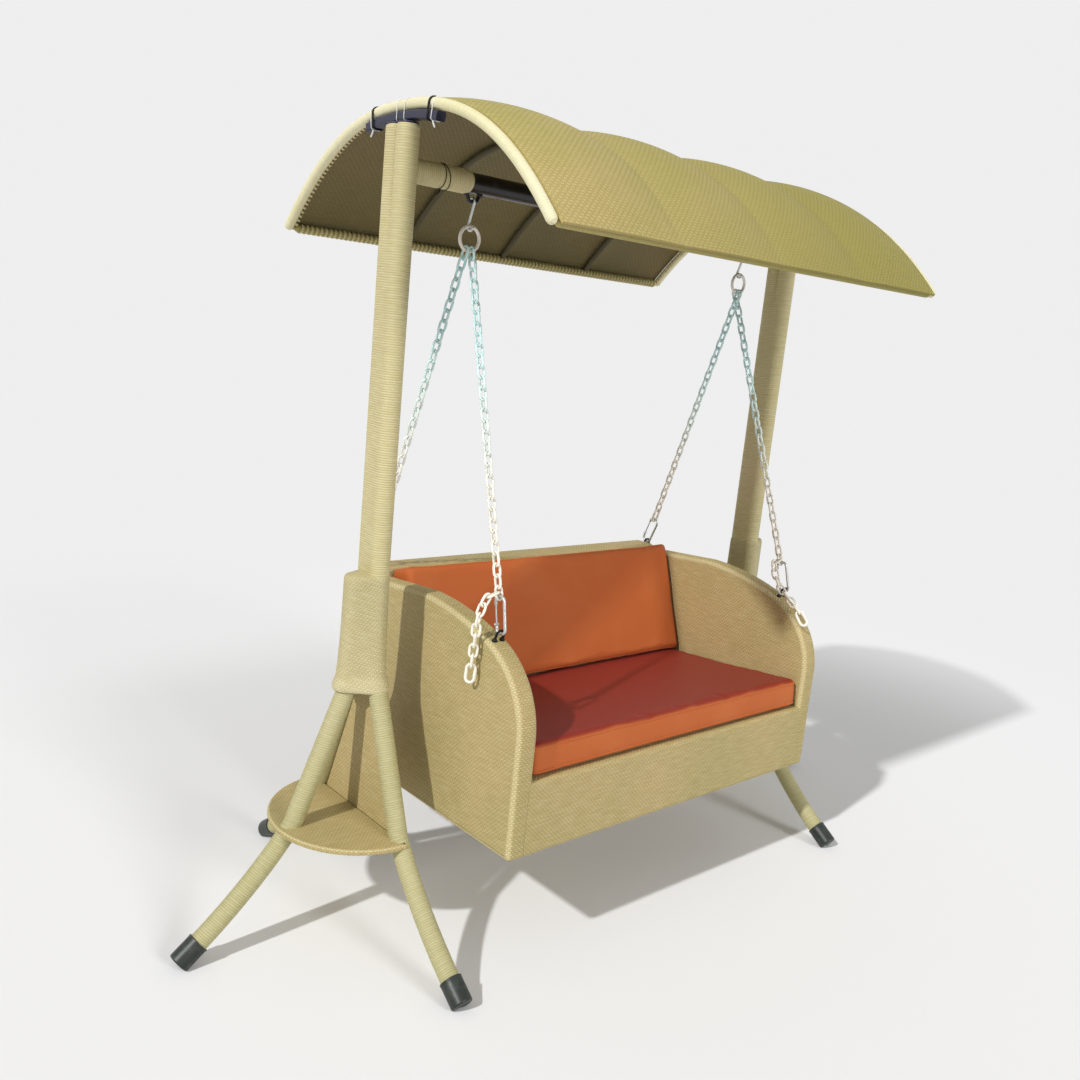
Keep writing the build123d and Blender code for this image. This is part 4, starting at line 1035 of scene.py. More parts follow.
def plate(name: str, outline: Array, normal: Any, thickness: float, edge: float, body: str,
          replaced: Sequence[str], pitch: float, relief: float) -> Object:
    """Makes a flat woven plate with a rounded edge, over which the strands are real ridges.

    Across the edge the surface follows a quarter circle, the flat rim and another quarter circle; the
    outline moves inwards by edge * (1 - sin(angle)) as the surface nears a face.

    Args:
        name: name of the piece.
        outline: closed run of points in one plane, at the middle of the thickness.
        normal: normal of that plane.
        thickness: full thickness of the plate.
        edge: radius of its rounded edges.
        body: CAD body that it rides on.
        replaced: CAD nodes that it stands for.
        pitch: width of a strand across the edge.
        relief: depth between strands at the edge.

    Returns:
        The new object.
    """
    normal = unit(normal)
    fine = resample(outline, pitch / 4)
    fine[-1] = fine[0]
    inward = unit(np.cross(normal, headings(fine, True)))
    if ((outline[:-1].mean(0) - fine[:-1]) * inward[:-1]).sum() < 0:
        inward = -inward
    quarter = np.linspace(0, pi / 2, 6)
    depth = np.concatenate([edge * (1 - np.sin(quarter)), edge * (1 - np.cos(quarter))])
    half = thickness / 2 - edge
    height = np.concatenate([half + edge * np.cos(quarter), -half - edge * np.sin(quarter)])
    along = lengths(fine)
    phase = along / along[-1] * round(along[-1] / pitch)
    hold = np.sin(np.concatenate([quarter, pi / 2 - quarter]))
    dip = relief * (1 - strand_swell(phase))[:, None] * hold
    points = fine[:, None] + (depth + dip)[..., None] * inward[:, None] + height[:, None] * normal
    across = np.concatenate([[0], np.cumsum(np.hypot(np.diff(depth), np.diff(height)))])
    chart = np.stack(np.broadcast_arrays(across, (phase * pitch)[:, None]), -1)
    # Painted highlight: the rounded edges are painted paler through the tone attribute.
    scuff_and_edge_highlight = (hold > 0.2) & (hold < 0.95)
    tone = np.broadcast_to(np.where(scuff_and_edge_highlight, 0.55, 0.0), chart.shape[:2])
    piece = Piece(name).grid(points, chart, tone)
    first = int(abs(normal[0]) > 0.5)
    for column in (0, -1):
        ring = points[:-1, column]
        piece.face(ring, ring[:, first:first + 2])
    return piece.finish(body, "wicker", woven, replaced)


def dress_node(node: str, finish: Finish) -> None:
    """Gives a CAD node, whose own shape stays, a finish in all its material slots."""
    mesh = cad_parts[node].data
    if not mesh.materials:
        mesh.materials.append(finish.material())
    for index in range(len(mesh.materials)):
        mesh.materials[index] = finish.material()
    log.info("%s: keeps its own shape", node)


# ---- crossbeam and hangers ----------------------------------------------------------------------
@dataclass
class Beam:
    """Black crossbeam with wound sleeves at its ends, and the loops, hooks and rings that hang from it."""

    height: float = 1.945
    radius: float = 25 * MM
    sleeve_end: float = 0.5695
    hanger_x: float = 0.545
    pivot: float = 1.9
    mouth: float = 44 * MM
    throat: float = 24 * MM
    bar: float = 5 * MM
    hook_wire: float = 3.5 * MM
    ring_height: float = 1.81
    ring_radius: float = 30.5 * MM
    ring_wire: float = 4.5 * MM
    play: float = 0.4 * MM
    sleeve_reed: float = 4.6 * MM
    tie_x: float = 0.652
    tie_slant: float = 14 * MM
    tie_wire: float = 1.1 * MM
    loop_turn: float = 9 * MM
    weld: float = 7.5 * MM

    def build(self) -> None:
        """Makes the beam, its sleeves, and both hangers."""
        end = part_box("crossbeam")[1].x
        straight = np.array([(-end, 0, self.height), (end, 0, self.height)])
        tube = Piece("black_crossbeam").tube(resample(straight, 0.05), (0, 1, 0), self.radius, 40)
        tube.finish("stand", "beam_black", beam_paint, ["crossbeam"])
        sleeves, ties = Piece("beam_reed_sleeves"), Piece("sleeve_tie_wires")
        loops, hooks, rings = Piece("hanger_v_loops"), Piece("hanger_s_hooks"), Piece("round_hanger_rings")
        for side in sides.values():
            self.sleeve(sleeves, side, end)
            self.tie(ties, side)
            self.loop(loops, side)
            hooks.tube(self.hook_path(side), (1, 0, 0), self.hook_wire, 12)
            angle = circle(48)
            ring = np.stack([side * self.hanger_x + self.ring_radius * np.cos(angle), 0 * angle,
                             self.ring_height + self.ring_radius * np.sin(angle)], 1)
            rings.tube(ring, (0, 1, 0), self.ring_wire, 14, closed=True)
        sleeves.finish("stand", "wicker", wound, ["beam_sleeves"])
        ties.finish("stand", "dark_iron", iron)
        loops.finish("stand", "beam_black", beam_paint, ["hanger_loops"])
        hooks.finish("swing_seat", "zinc_steel", bright_zinc, ["beam_hooks"])
        rings.finish("swing_seat", "zinc_steel", ring_zinc, ["hanger_rings"])

    def sleeve(self, sleeves: Piece, side: int, end: float) -> None:
        """Reed sleeve round the beam's end, with rounded ends."""
        inner, outer = self.sleeve_end + 6 * MM, end - 4 * MM
        path = np.array([(side * x, 0, self.height) for x in (inner, outer)])
        wind(sleeves, path, (0, 1, 0), self.radius + self.sleeve_reed, 6 * MM, 0.9 * MM, 36)

    def tie(self, ties: Piece, side: int) -> None:
        """Soft wire bound twice round the sleeve, once square and once on the slant, with a twisted end."""
        angle = circle(40)
        reach = self.radius + self.sleeve_reed + 1 * MM
        for middle, slant in ((self.tie_x, 0.0), (self.tie_x - 12 * MM, self.tie_slant)):
            x = side * (middle + slant * np.cos(angle) / 2)
            ring = np.stack([x, reach * np.sin(angle), self.height + reach * np.cos(angle)], 1)
            ties.tube(ring, (1, 0, 0), self.tie_wire, 6, closed=True)
        tail = MM * np.array([(0, -8, 0), (3 * side, -10, -8), (9 * side, -8, -14)])
        start = (side * self.tie_x, 0, self.height - reach)
        ties.tube(start + tail, (0, 1, 0), 1.6 * MM, 6)

    def loop(self, loops: Piece, side: int) -> None:
        """V-shaped loop of round bar, welded to the beam's underside with a bead at each leg."""
        sunk = 4 * MM
        x, top = side * self.hanger_x, self.height - self.radius + sunk
        corners = [(x - self.mouth / 2, 0, top), (x - self.throat / 2, 0, self.pivot),
                   (x + self.throat / 2, 0, self.pivot), (x + self.mouth / 2, 0, top)]
        loops.tube(resample(rounded(corners, self.loop_turn), 4 * MM), (0, 1, 0), self.bar, 14)
        for end in (-1, 1):
            reach = end * self.mouth / 2
            foot = np.array([(x + reach * 0.97, 0, top - 6 * MM), (x + reach, 0, top)])
            loops.tube(resample(foot, 2 * MM), (0, 1, 0), self.weld, 14)

    def hook_path(self, side: int) -> Array:
        """S-hook: half a turn over the loop's bar, a straight shank, and half a turn under the ring.

        The shank touches both bends from inside, so it leans by asin(sum of their radii / their distance).
        """
        upper = self.bar + self.play + self.hook_wire
        lower = self.ring_wire * 2**0.5 + self.play + self.hook_wire
        ring_top = self.ring_height + self.ring_radius
        lean = asin((upper + lower) / (self.pivot - ring_top))
        over = lean + np.linspace(0, pi, 16)
        under = lean - np.linspace(0, pi, 16)
        top = np.stack([upper * np.cos(over), self.pivot + upper * np.sin(over)], 1)
        bottom = np.stack([lower * np.cos(under), ring_top + lower * np.sin(under)], 1)
        flat = np.concatenate([top, bottom])
        return resample(np.column_stack([np.full(len(flat), side * self.hanger_x), flat]), 2 * MM)


# ---- seat arms ----------------------------------------------------------------------------------
@dataclass(frozen=True)
class ArmShape:
    """Side outline of an arm: straight front, tight front curve, flat crown, top falling to the rear."""

    front: float = -0.454
    back: float = 0.345
    bottom: float = 0.313
    front_radius: float = 0.23
    front_turn: float = 70.0
    crown_radius: float = 0.862
    top: float = 0.893
    rear_top: float = 0.866
    rear_round: float = 38 * MM
    foot_round: float = 14 * MM
    outer: float = 0.617
    thickness: float = 61 * MM

    @property
    def middle(self) -> float:
        """X of the middle of the right arm."""
        return self.outer - self.thickness / 2

    @property
    def rest_turn(self) -> float:
        """Angle of the crown's curve in radians."""
        return radians(90 - self.front_turn)

    @property
    def straight_top(self) -> float:
        """Height at which the straight front ends."""
        crown_fall = self.crown_radius * (1 - cos(self.rest_turn))
        return self.top - crown_fall - self.front_radius * sin(radians(self.front_turn))

    @property
    def crown_start(self) -> tuple[float, float]:
        """(Y, Z) at which the flatter crown begins."""
        turn, radius = radians(self.front_turn), self.front_radius
        return self.front + radius * (1 - cos(turn)), self.straight_top + radius * sin(turn)

    @property
    def crown_end(self) -> float:
        """Y at which the crown is level."""
        return self.crown_start[0] + self.crown_radius * sin(self.rest_turn)

    def surface(self, y: float) -> tuple[float, Array]:
        """Height of the arm's top at a place along it, and its normal as (Y, Z)."""
        if y > self.crown_end:
            fall = (self.top - self.rear_top) / (self.back - self.crown_end)
            return self.top - fall * (y - self.crown_end), unit((fall, 1))
        if y > self.crown_start[0]:
            middle, radius, base = self.crown_end, self.crown_radius, self.top - self.crown_radius
        else:
            middle, radius, base = self.front + self.front_radius, self.front_radius, self.straight_top
        lean = (middle - y) / radius
        rise = (1 - lean**2) ** 0.5
        return base + radius * rise, np.array([-lean, rise])

    def outline(self) -> Array:
        """Closed outline as (Y, Z): it starts midway up the front and ends there."""
        angle = np.linspace(0, radians(self.front_turn), 24)
        curve = np.stack([self.front + self.front_radius * (1 - np.cos(angle)),
                          self.straight_top + self.front_radius * np.sin(angle)], 1)
        spread = np.linspace(self.crown_start[0], self.crown_end, 16)[1:]
        crown = np.array([(y, self.surface(y)[0]) for y in spread])
        start = (self.front, (self.bottom + self.straight_top) / 2)
        corners = [crown[-1], (self.back, self.rear_top), (self.back, self.bottom),
                   (self.front, self.bottom), start]
        rest = rounded(corners, [self.rear_round, self.foot_round, self.foot_round])
        return np.concatenate([[start], curve, crown, rest[1:]])


# ---- seat ---------------------------------------------------------------------------------------
@dataclass
class Seat:
    """Woven sofa shell: two arms, front apron, back and the frame inside them."""

    arm: ArmShape = field(default_factory=ArmShape)
    skin: float = 5 * MM
    lip: float = 36 * MM
    edge: float = 15 * MM
    pitch: float = 6.0 * MM
    relief: float = 0.9 * MM
    settled: float = 3 * MM
    back_lean: float = 18.6
    rear_turn: float = 24 * MM
    front_turn: float = 14 * MM
    hem: float = 2.4 * MM
    fold: float = 3 * MM
    shelf_turn: float = 10 * MM

    def build(self) -> None:
        """Makes the woven pieces and dresses the frame nodes that show under them."""
        for name, side in sides.items():
            flat = self.arm.outline()
            points = np.column_stack([np.full(len(flat), side * self.arm.middle), flat])
            plate(f"{name}_arm_shell", points, (1, 0, 0), self.arm.thickness, self.edge, "swing_seat",
                  [f"{name}_arm_weave"], self.pitch, self.relief)
            dress_node(f"{name}_arm_hoop", frame_paint)
        self.apron()
        self.back()
        dress_node("seat_rails", frame_paint)
        dress_node("seat_deck", woven)

    def across(self, name: str, profile: Array, node: str) -> None:
        """Panel with the given closed side profile, whose strands run along the seat.

        It reaches over the arms' rounded inner edges, so the front and the back read as one woven face.
        """
        inner = self.arm.outer - self.arm.thickness
        reach = inner + self.edge * 0.75
        spread = np.linspace(-reach, reach, 60)
        profile = resample(profile, 4 * MM)
        profile[-1] = profile[0]
        rows = np.broadcast_to(spread[:, None, None], (len(spread), len(profile), 1))
        points = np.concatenate([rows, np.broadcast_to(profile, (len(spread), *profile.shape))], -1)
        chart = np.stack(np.broadcast_arrays(spread[:, None], lengths(profile)), -1)
        Piece(name).capped(points, chart).finish("swing_seat", "wicker", woven, [node])

    def apron(self) -> None:
        """Front apron: a face that turns in under the cushion and under the seat."""
        low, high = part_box("front_apron")
        start = (low.y, (low.z + high.z) / 2)
        rear = low.y + self.lip
        lower = low.z + self.skin
        front = low.y + self.skin
        gap = 0.3 * MM
        slope = (high.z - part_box("seat_deck")[1].z) / (self.lip + gap)
        rear_top = high.z - slope * self.lip
        corners = [start, (low.y, low.z), (rear, low.z), (rear, lower), (front, lower),
                   (front, high.z - self.skin), (rear, rear_top - self.skin), (rear, rear_top),
                   (low.y, high.z), start]
        radii = [self.edge, self.hem, self.hem, self.fold, self.fold, self.hem, self.hem, self.shelf_turn]
        self.across("front_apron_weave", rounded(corners, radii), "front_apron")

    def back(self) -> None:
        """Back: upright rear face, rounded top, and a leaning inner face behind the cushion."""
        low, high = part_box("back_weave")
        high.z -= self.settled
        skin, rear, small = self.skin, high.y, 2 * MM
        start = (rear, (low.z + high.z) / 2)
        foot_y = low.y
        foot_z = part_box("seat_deck")[0].z
        top_y = foot_y + (high.z - foot_z) * tan(radians(self.back_lean))
        corners = [start, (rear, high.z), (top_y, high.z), (foot_y, foot_z), (foot_y + skin, foot_z),
                   (top_y + skin, high.z - skin), (rear - skin, high.z - skin), (rear - skin, low.z),
                   (rear, low.z), start]
        radii = [self.rear_turn, self.front_turn, small, small, self.front_turn - skin,
                 self.rear_turn - skin, small, small]
        self.across("rear_panel_weave", rounded(corners, radii), "back_weave")


# ---- cushions -----------------------------------------------------------------------------------
@dataclass(frozen=True)
class Fold:
    """A soft ridge across a cover, or a furrow where its height is negative: a bell curve."""

    at: float
    width: float
    height: float

    def rise(self, place: Array) -> Array:
        """Height of the fold at places along the cover."""
        return self.height * np.exp(-(((place - self.at) / self.width) ** 2))


@dataclass
class Cushions:
    """Seat and back cushions: foam in a boxed cover, swelled by a short cloth simulation."""

    voxel: float = 9 * MM
    pressure: float = 4.0
    frames: int = 20
    stretch_stiffness: float = 15
    bending_stiffness: float = 4
    swell: float = 9 * MM
    edge_round: float = 10 * MM
    start_inset: tuple[float, float, float] = (1.2 * MM, 2 * MM, 2 * MM)
    snug: float = 2.5 * MM
    welt: float = 2.6 * MM
    welt_inset: float = 9 * MM
    welt_turn: float = 26 * MM
    seat_tilt: float = -5.4
    back_tilt: float = -18.6
    sag: float = 5 * MM
    seat_slant: float = 0.55
    back_slant: float = 0.1
    seat_folds: tuple[Fold, ...] = (
        Fold(-0.40, 0.030, 3.4 * MM), Fold(-0.27, 0.018, -2.8 * MM), Fold(-0.10, 0.022, 3.8 * MM),
        Fold(0.06, 0.016, -2.6 * MM), Fold(0.17, 0.026, 3.2 * MM), Fold(0.33, 0.015, 2.8 * MM),
        Fold(0.40, 0.013, 3.0 * MM), Fold(0.46, 0.012, 2.6 * MM))
    back_folds: tuple[Fold, ...] = (
        Fold(-0.35, 0.045, 2.4 * MM), Fold(-0.16, 0.030, -2.2 * MM), Fold(0.02, 0.040, 2.6 * MM),
        Fold(0.15, 0.025, -2.4 * MM), Fold(0.30, 0.035, 2.4 * MM), Fold(0.43, 0.020, -2.0 * MM))

    def build(self) -> None:
        """Makes both cushions, each with its sewn welts."""
        self.cushion("seat_cushion", "seat_cushion_cover", self.seat_tilt, 2, (0.0, 0.0))
        self.cushion("back_cushion", "back_cushion_cover", self.back_tilt, 1, (6 * MM, 20 * MM))

    def frame_of(self, node: str, tilt: float) -> tuple[Matrix, Array]:
        """Turned frame of a cushion's solid and its half sizes in that frame."""
        turn = Matrix.Rotation(radians(tilt), 4, "X")
        local = places_of(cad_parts[node].data) @ np.array(turn.to_3x3())
        middle = (local.max(0) + local.min(0)) / 2
        return turn @ Matrix.Translation(Vector(middle)), np.ptp(local, axis=0) / 2

    def cushion(self, node: str, name: str, tilt: float, thin: int, stretch: tuple[float, float]) -> None:
        """Makes one cushion in its own frame, then puts its place into its mesh.

        Args:
            node: CAD node that it stands for.
            name: name of the piece.
            tilt: turn of its frame about X in degrees.
            thin: axis of its thickness: 2 for the seat cushion, 1 for the back cushion.
            stretch: how far soft foam reaches past its solid at its lower and upper ends.
        """
        place, half = self.frame_of(node, tilt)
        half = half + np.array([0, 0, sum(stretch) / 2])
        place = place @ Matrix.Translation((0, 0, (stretch[1] - stretch[0]) / 2))
        half[0] += self.snug
        piece = self.box(name, half - self.start_inset)
        self.inflate(piece)
        self.sculpt(piece, half, thin)
        piece.data.materials.append(cover.material())
        tree = BVHTree.FromObject(piece, bpy.context.evaluated_depsgraph_get())
        welts = self.welts(name, tree, half, thin)
        for part, replaced in ((piece, [node]), (welts, [])):
            part.data.transform(place)
            part.data.update()
            settle(part, "swing_seat", replaced)

    def box(self, name: str, half: Array) -> Object:
        """Rounded box remeshed to even faces."""
        build = bmesh.new()
        bmesh.ops.create_cube(build, size=2.0)
        bmesh.ops.scale(build, vec=half, verts=build.verts)
        bmesh.ops.bevel(build, geom=build.edges, offset=self.edge_round, segments=3, affect="EDGES")
        mesh = bpy.data.meshes.new(name)
        build.to_mesh(mesh)
        build.free()
        piece = linked(name, mesh)
        remesh = piece.modifiers.new("remesh", "REMESH")
        remesh.mode = "VOXEL"
        remesh.voxel_size = self.voxel
        self.apply(piece)
        return piece

    def apply(self, piece: Object) -> None:
        """Puts the result of a piece's modifiers into its mesh and removes them."""
        graph = bpy.context.evaluated_depsgraph_get()
        mesh = bpy.data.meshes.new_from_object(piece.evaluated_get(graph))
        piece.modifiers.clear()
        piece.data = mesh

    def inflate(self, piece: Object) -> None:
        """Swells a cushion with pressure and caps how far each point may move."""
        rest = places_of(piece.data).astype(float)
        cloth = piece.modifiers.new("cloth", "CLOTH")
        settings = cloth.settings
        settings.use_pressure = True
        settings.uniform_pressure_force = self.pressure
        settings.effector_weights.gravity = 0
        settings.tension_stiffness = settings.compression_stiffness = self.stretch_stiffness
        settings.bending_stiffness = self.bending_stiffness
        cloth.point_cache.frame_end = self.frames
        scene = bpy.context.scene
        for step in range(1, self.frames + 1):
            scene.frame_set(step)
        self.apply(piece)
        moved = places_of(piece.data) - rest
        far = np.linalg.norm(moved, axis=1, keepdims=True)
        capped = rest + moved * np.minimum(1, self.swell / np.maximum(far, 1e-9))
        piece.data.vertices.foreach_set("co", capped.astype(np.float32).ravel())
        scene.frame_set(1)

    def sculpt(self, piece: Object, half: Array, thin: int) -> None:
        """Subdivides the cushion, adds its soft folds, holds it in its solid's space and marks its top.

        Folds and sag fade in over the side that is sat on: the seat's top and the back's front. The sag is
        one cosine along the seat times one across it.

        Args:
            piece: the cushion, in its own frame.
            half: half sizes of the space that it may fill.
            thin: axis of its thickness.
        """
        subdivide = piece.modifiers.new("subdivide", "SUBSURF")
        subdivide.levels = subdivide.render_levels = render_levels
        self.apply(piece)
        points = places_of(piece.data).astype(float)
        along, wide = points[:, 0], points[:, 3 - thin]
        face = points[:, thin] / half[thin] * (1 if thin == 2 else -1)
        shown = np.clip((face - 0.2) / 0.5, 0, 1)
        if thin == 2:
            rise = sum(fold.rise(along + self.seat_slant * wide) for fold in self.seat_folds)
            hollow = np.cos(along / half[0] * pi / 2) * np.cos(wide / half[1] * pi / 2)
            points[:, 2] += shown * (rise - self.sag * hollow)
            # tone marks the top, which the cover paints darker red as painted shade.
            tone = np.clip((face - 0.70) / 0.18, 0, 1)
        else:
            rise = sum(fold.rise(along + self.back_slant * wide) for fold in self.back_folds)
            points[:, 1] -= shown * rise
            tone = np.zeros(len(points))
        points = np.clip(points, -half, half)
        piece.data.vertices.foreach_set("co", points.astype(np.float32).ravel())
        mark = piece.data.attributes.new("tone", "FLOAT", "POINT")
        mark.data.foreach_set("value", tone.astype(np.float32))
        piece.data.polygons.foreach_set("use_smooth", np.ones(len(piece.data.polygons), bool))
        piece.data.update()

    def welts(self, name: str, tree: BVHTree, half: Array, thin: int) -> Object:
        """Sewn welts that follow the cover's edges, laid on its surface, in the cushion's own frame."""
        seams = Piece(name.replace("cover", "welts"))
        normal = np.eye(3)[thin]
        across = np.eye(3)[3 - thin] * half[3 - thin]
        for end in (-1, 1):
            level = end * (half[thin] - self.welt_inset) * normal
            ring = [level + (u * half[0], 0, 0) + v * across
                    for u, v in ((-1, -1), (1, -1), (1, 1), (-1, 1), (-1, -1))]
            middle = (ring[0] + ring[1]) / 2
            path = resample(rounded([middle, *ring[1:], middle], self.welt_turn), 8 * MM)
            laid = np.array([tree.find_nearest(Vector(spot))[0] for spot in path])
            laid[-1] = laid[0]
            seams.tube(laid, normal, self.welt, 8, closed=True)
        return seams.write(cover)


# ---- chains and snap hooks ----------------------------------------------------------------------
@dataclass
class Hardware:
    """Welded chain links, snap hooks with sprung gates, slack tails and the eyes on the arms."""

    arm: ArmShape = field(default_factory=ArmShape)
    eye_places: tuple[float, float] = (-0.305, 0.296)
    eye_height: float = 30 * MM
    eye_half: float = 12 * MM
    eye_wire: float = 3.5 * MM
    weld: float = 1.14
    hook_turn: float = 13 * MM
    tip_turn: float = 11.5 * MM
    mouth_gap: float = 2.5 * MM
    cheek: float = 4 * MM
    gate_wire: float = 2.5 * MM
    washer: float = 7 * MM

    def build(self) -> None:
        """Makes every chain, hook, gate, tail and eye from the frame's solids."""
        for end in ("front", "rear"):
            for side in sides:
                key = f"{end}_{side}"
                self.links(f"{key}_chain_links", f"{key}_chain", "swing_seat")
                self.snap(key)
        self.links("slack_top_links", "tail_top_links", "swing_seat")
        for side in sides:
            self.links(f"{side}_slack_links", f"{side}_chain_tail", f"{side}_chain_tail")
        dress_node("gate_pins", bright_zinc)
        self.eyes()

    def links(self, name: str, node: str, body: str) -> None:
        """Round-wire links in the places of a node's plain ones.

        A link's centre line is two straight runs joined by half circles. Its weld swells the wire a little
        in the middle of one run.

        Args:
            name: name of the piece.
            node: CAD node whose solids are the links.
            body: CAD body that they ride on.
        """
        piece = Piece(name)
        angle = np.linspace(-pi / 2, pi / 2, 9)
        for solid in loose_solids(node):
            pose = Pose.of(solid)
            length, width, wire = pose.extents
            bend = (width - wire) / 2
            run = (length - width) / 2
            right = np.stack([run + bend * np.cos(angle), bend * np.sin(angle)], 1)
            loop = np.concatenate([right, [[0, bend]], -right, [[0, -bend]], right[:1]])
            path = pose.place(np.column_stack([loop, np.zeros(len(loop))]))
            swell = np.full(len(path), wire / 2)
            swell[-2] *= self.weld
            piece.tube(path, pose.axes[2], swell, 8, closed=True)
        piece.finish(body, "zinc_steel", zinc, [node])

    def snap(self, key: str) -> None:
        """Snap hook of bent round bar with an open side, two cheeks at its hinge, and a sprung gate.

        The bar's axes are the hook's length, the way to its gate, and the normal of both.

        Args:
            key: start of the hook's node names, such as "front_left".
        """
        hook, gate = f"{key}_snap_hook", f"{key}_gate"
        body = Pose.of(loose_solids(hook)[0])
        bar = Pose.of(loose_solids(gate)[0])
        up = body.axes[0] * np.sign(body.axes[0][2])
        out = body.axes[1] * np.sign((bar.centre - body.centre) @ body.axes[1])
        across = np.cross(up, out)
        axes = np.array([up, out, across])
        length, width, wire = body.extents
        reach = bar.axes[0] * bar.extents[0] / 2
        low, high = sorted((tip - body.centre) @ up for tip in (bar.centre - reach, bar.centre + reach))
        half, side = (length - wire) / 2, (width - wire) / 2
        corners = [(low - 1 * MM, side, 0), (-half, side * 0.9, 0), (-half, -side * 0.9, 0),
                   (half, -side, 0), (half, side, 0), (high + self.mouth_gap, side, 0)]
        turns = [self.tip_turn, self.tip_turn, self.hook_turn, self.hook_turn]
        path = body.centre + rounded(corners, turns) @ axes
        piece = Piece(f"{key}_hook_body").tube(resample(path, 3 * MM), across, wire / 2, 12)
        pin = body.centre + np.array([low + 3 * MM, side, 0]) @ axes
        for face in (-across, across):
            disc = np.array([pin + face * 2.7 * MM, pin + face * 3.6 * MM])
            piece.tube(disc, up, self.cheek, 14)
        piece.finish("swing_seat", "zinc_steel", bright_zinc, [hook])
        ends = [(low + self.mouth_gap, side, 0), (high - self.mouth_gap, side, 0)]
        stem = resample(body.centre + np.array(ends) @ axes, 4 * MM)
        latch = Piece(f"{key}_gate_bar").tube(stem, across, self.gate_wire, 10, flat=0.8)
        latch.finish(gate, "zinc_steel", bright_zinc, [gate])

    def eyes(self) -> None:
        """Iron staples across the arms, with a washer where each leg enters the weave."""
        piece = Piece("iron_arm_eyes")
        for side in sides.values():
            for y in self.eye_places:
                height, normal = self.arm.surface(y)
                out = np.array([0, *normal])
                seat = np.array([side * self.arm.middle, y, height])
                left, right = (seat + (end * self.eye_half, 0, 0) for end in (-1, 1))
                buried, top = -12 * MM * out, self.eye_height * out
                corners = [left + buried, left + top, right + top, right + buried]
                plane = np.cross((1, 0, 0), out)
                piece.tube(resample(rounded(corners, 8 * MM), 3 * MM), plane, self.eye_wire, 12)
                for foot in (left, right):
                    washer = np.array([foot + out * 0.4 * MM, foot + out * 1.4 * MM])
                    piece.tube(washer, plane, self.washer, 16)
        piece.finish("swing_seat", "dark_iron", iron, ["eye_staples"])


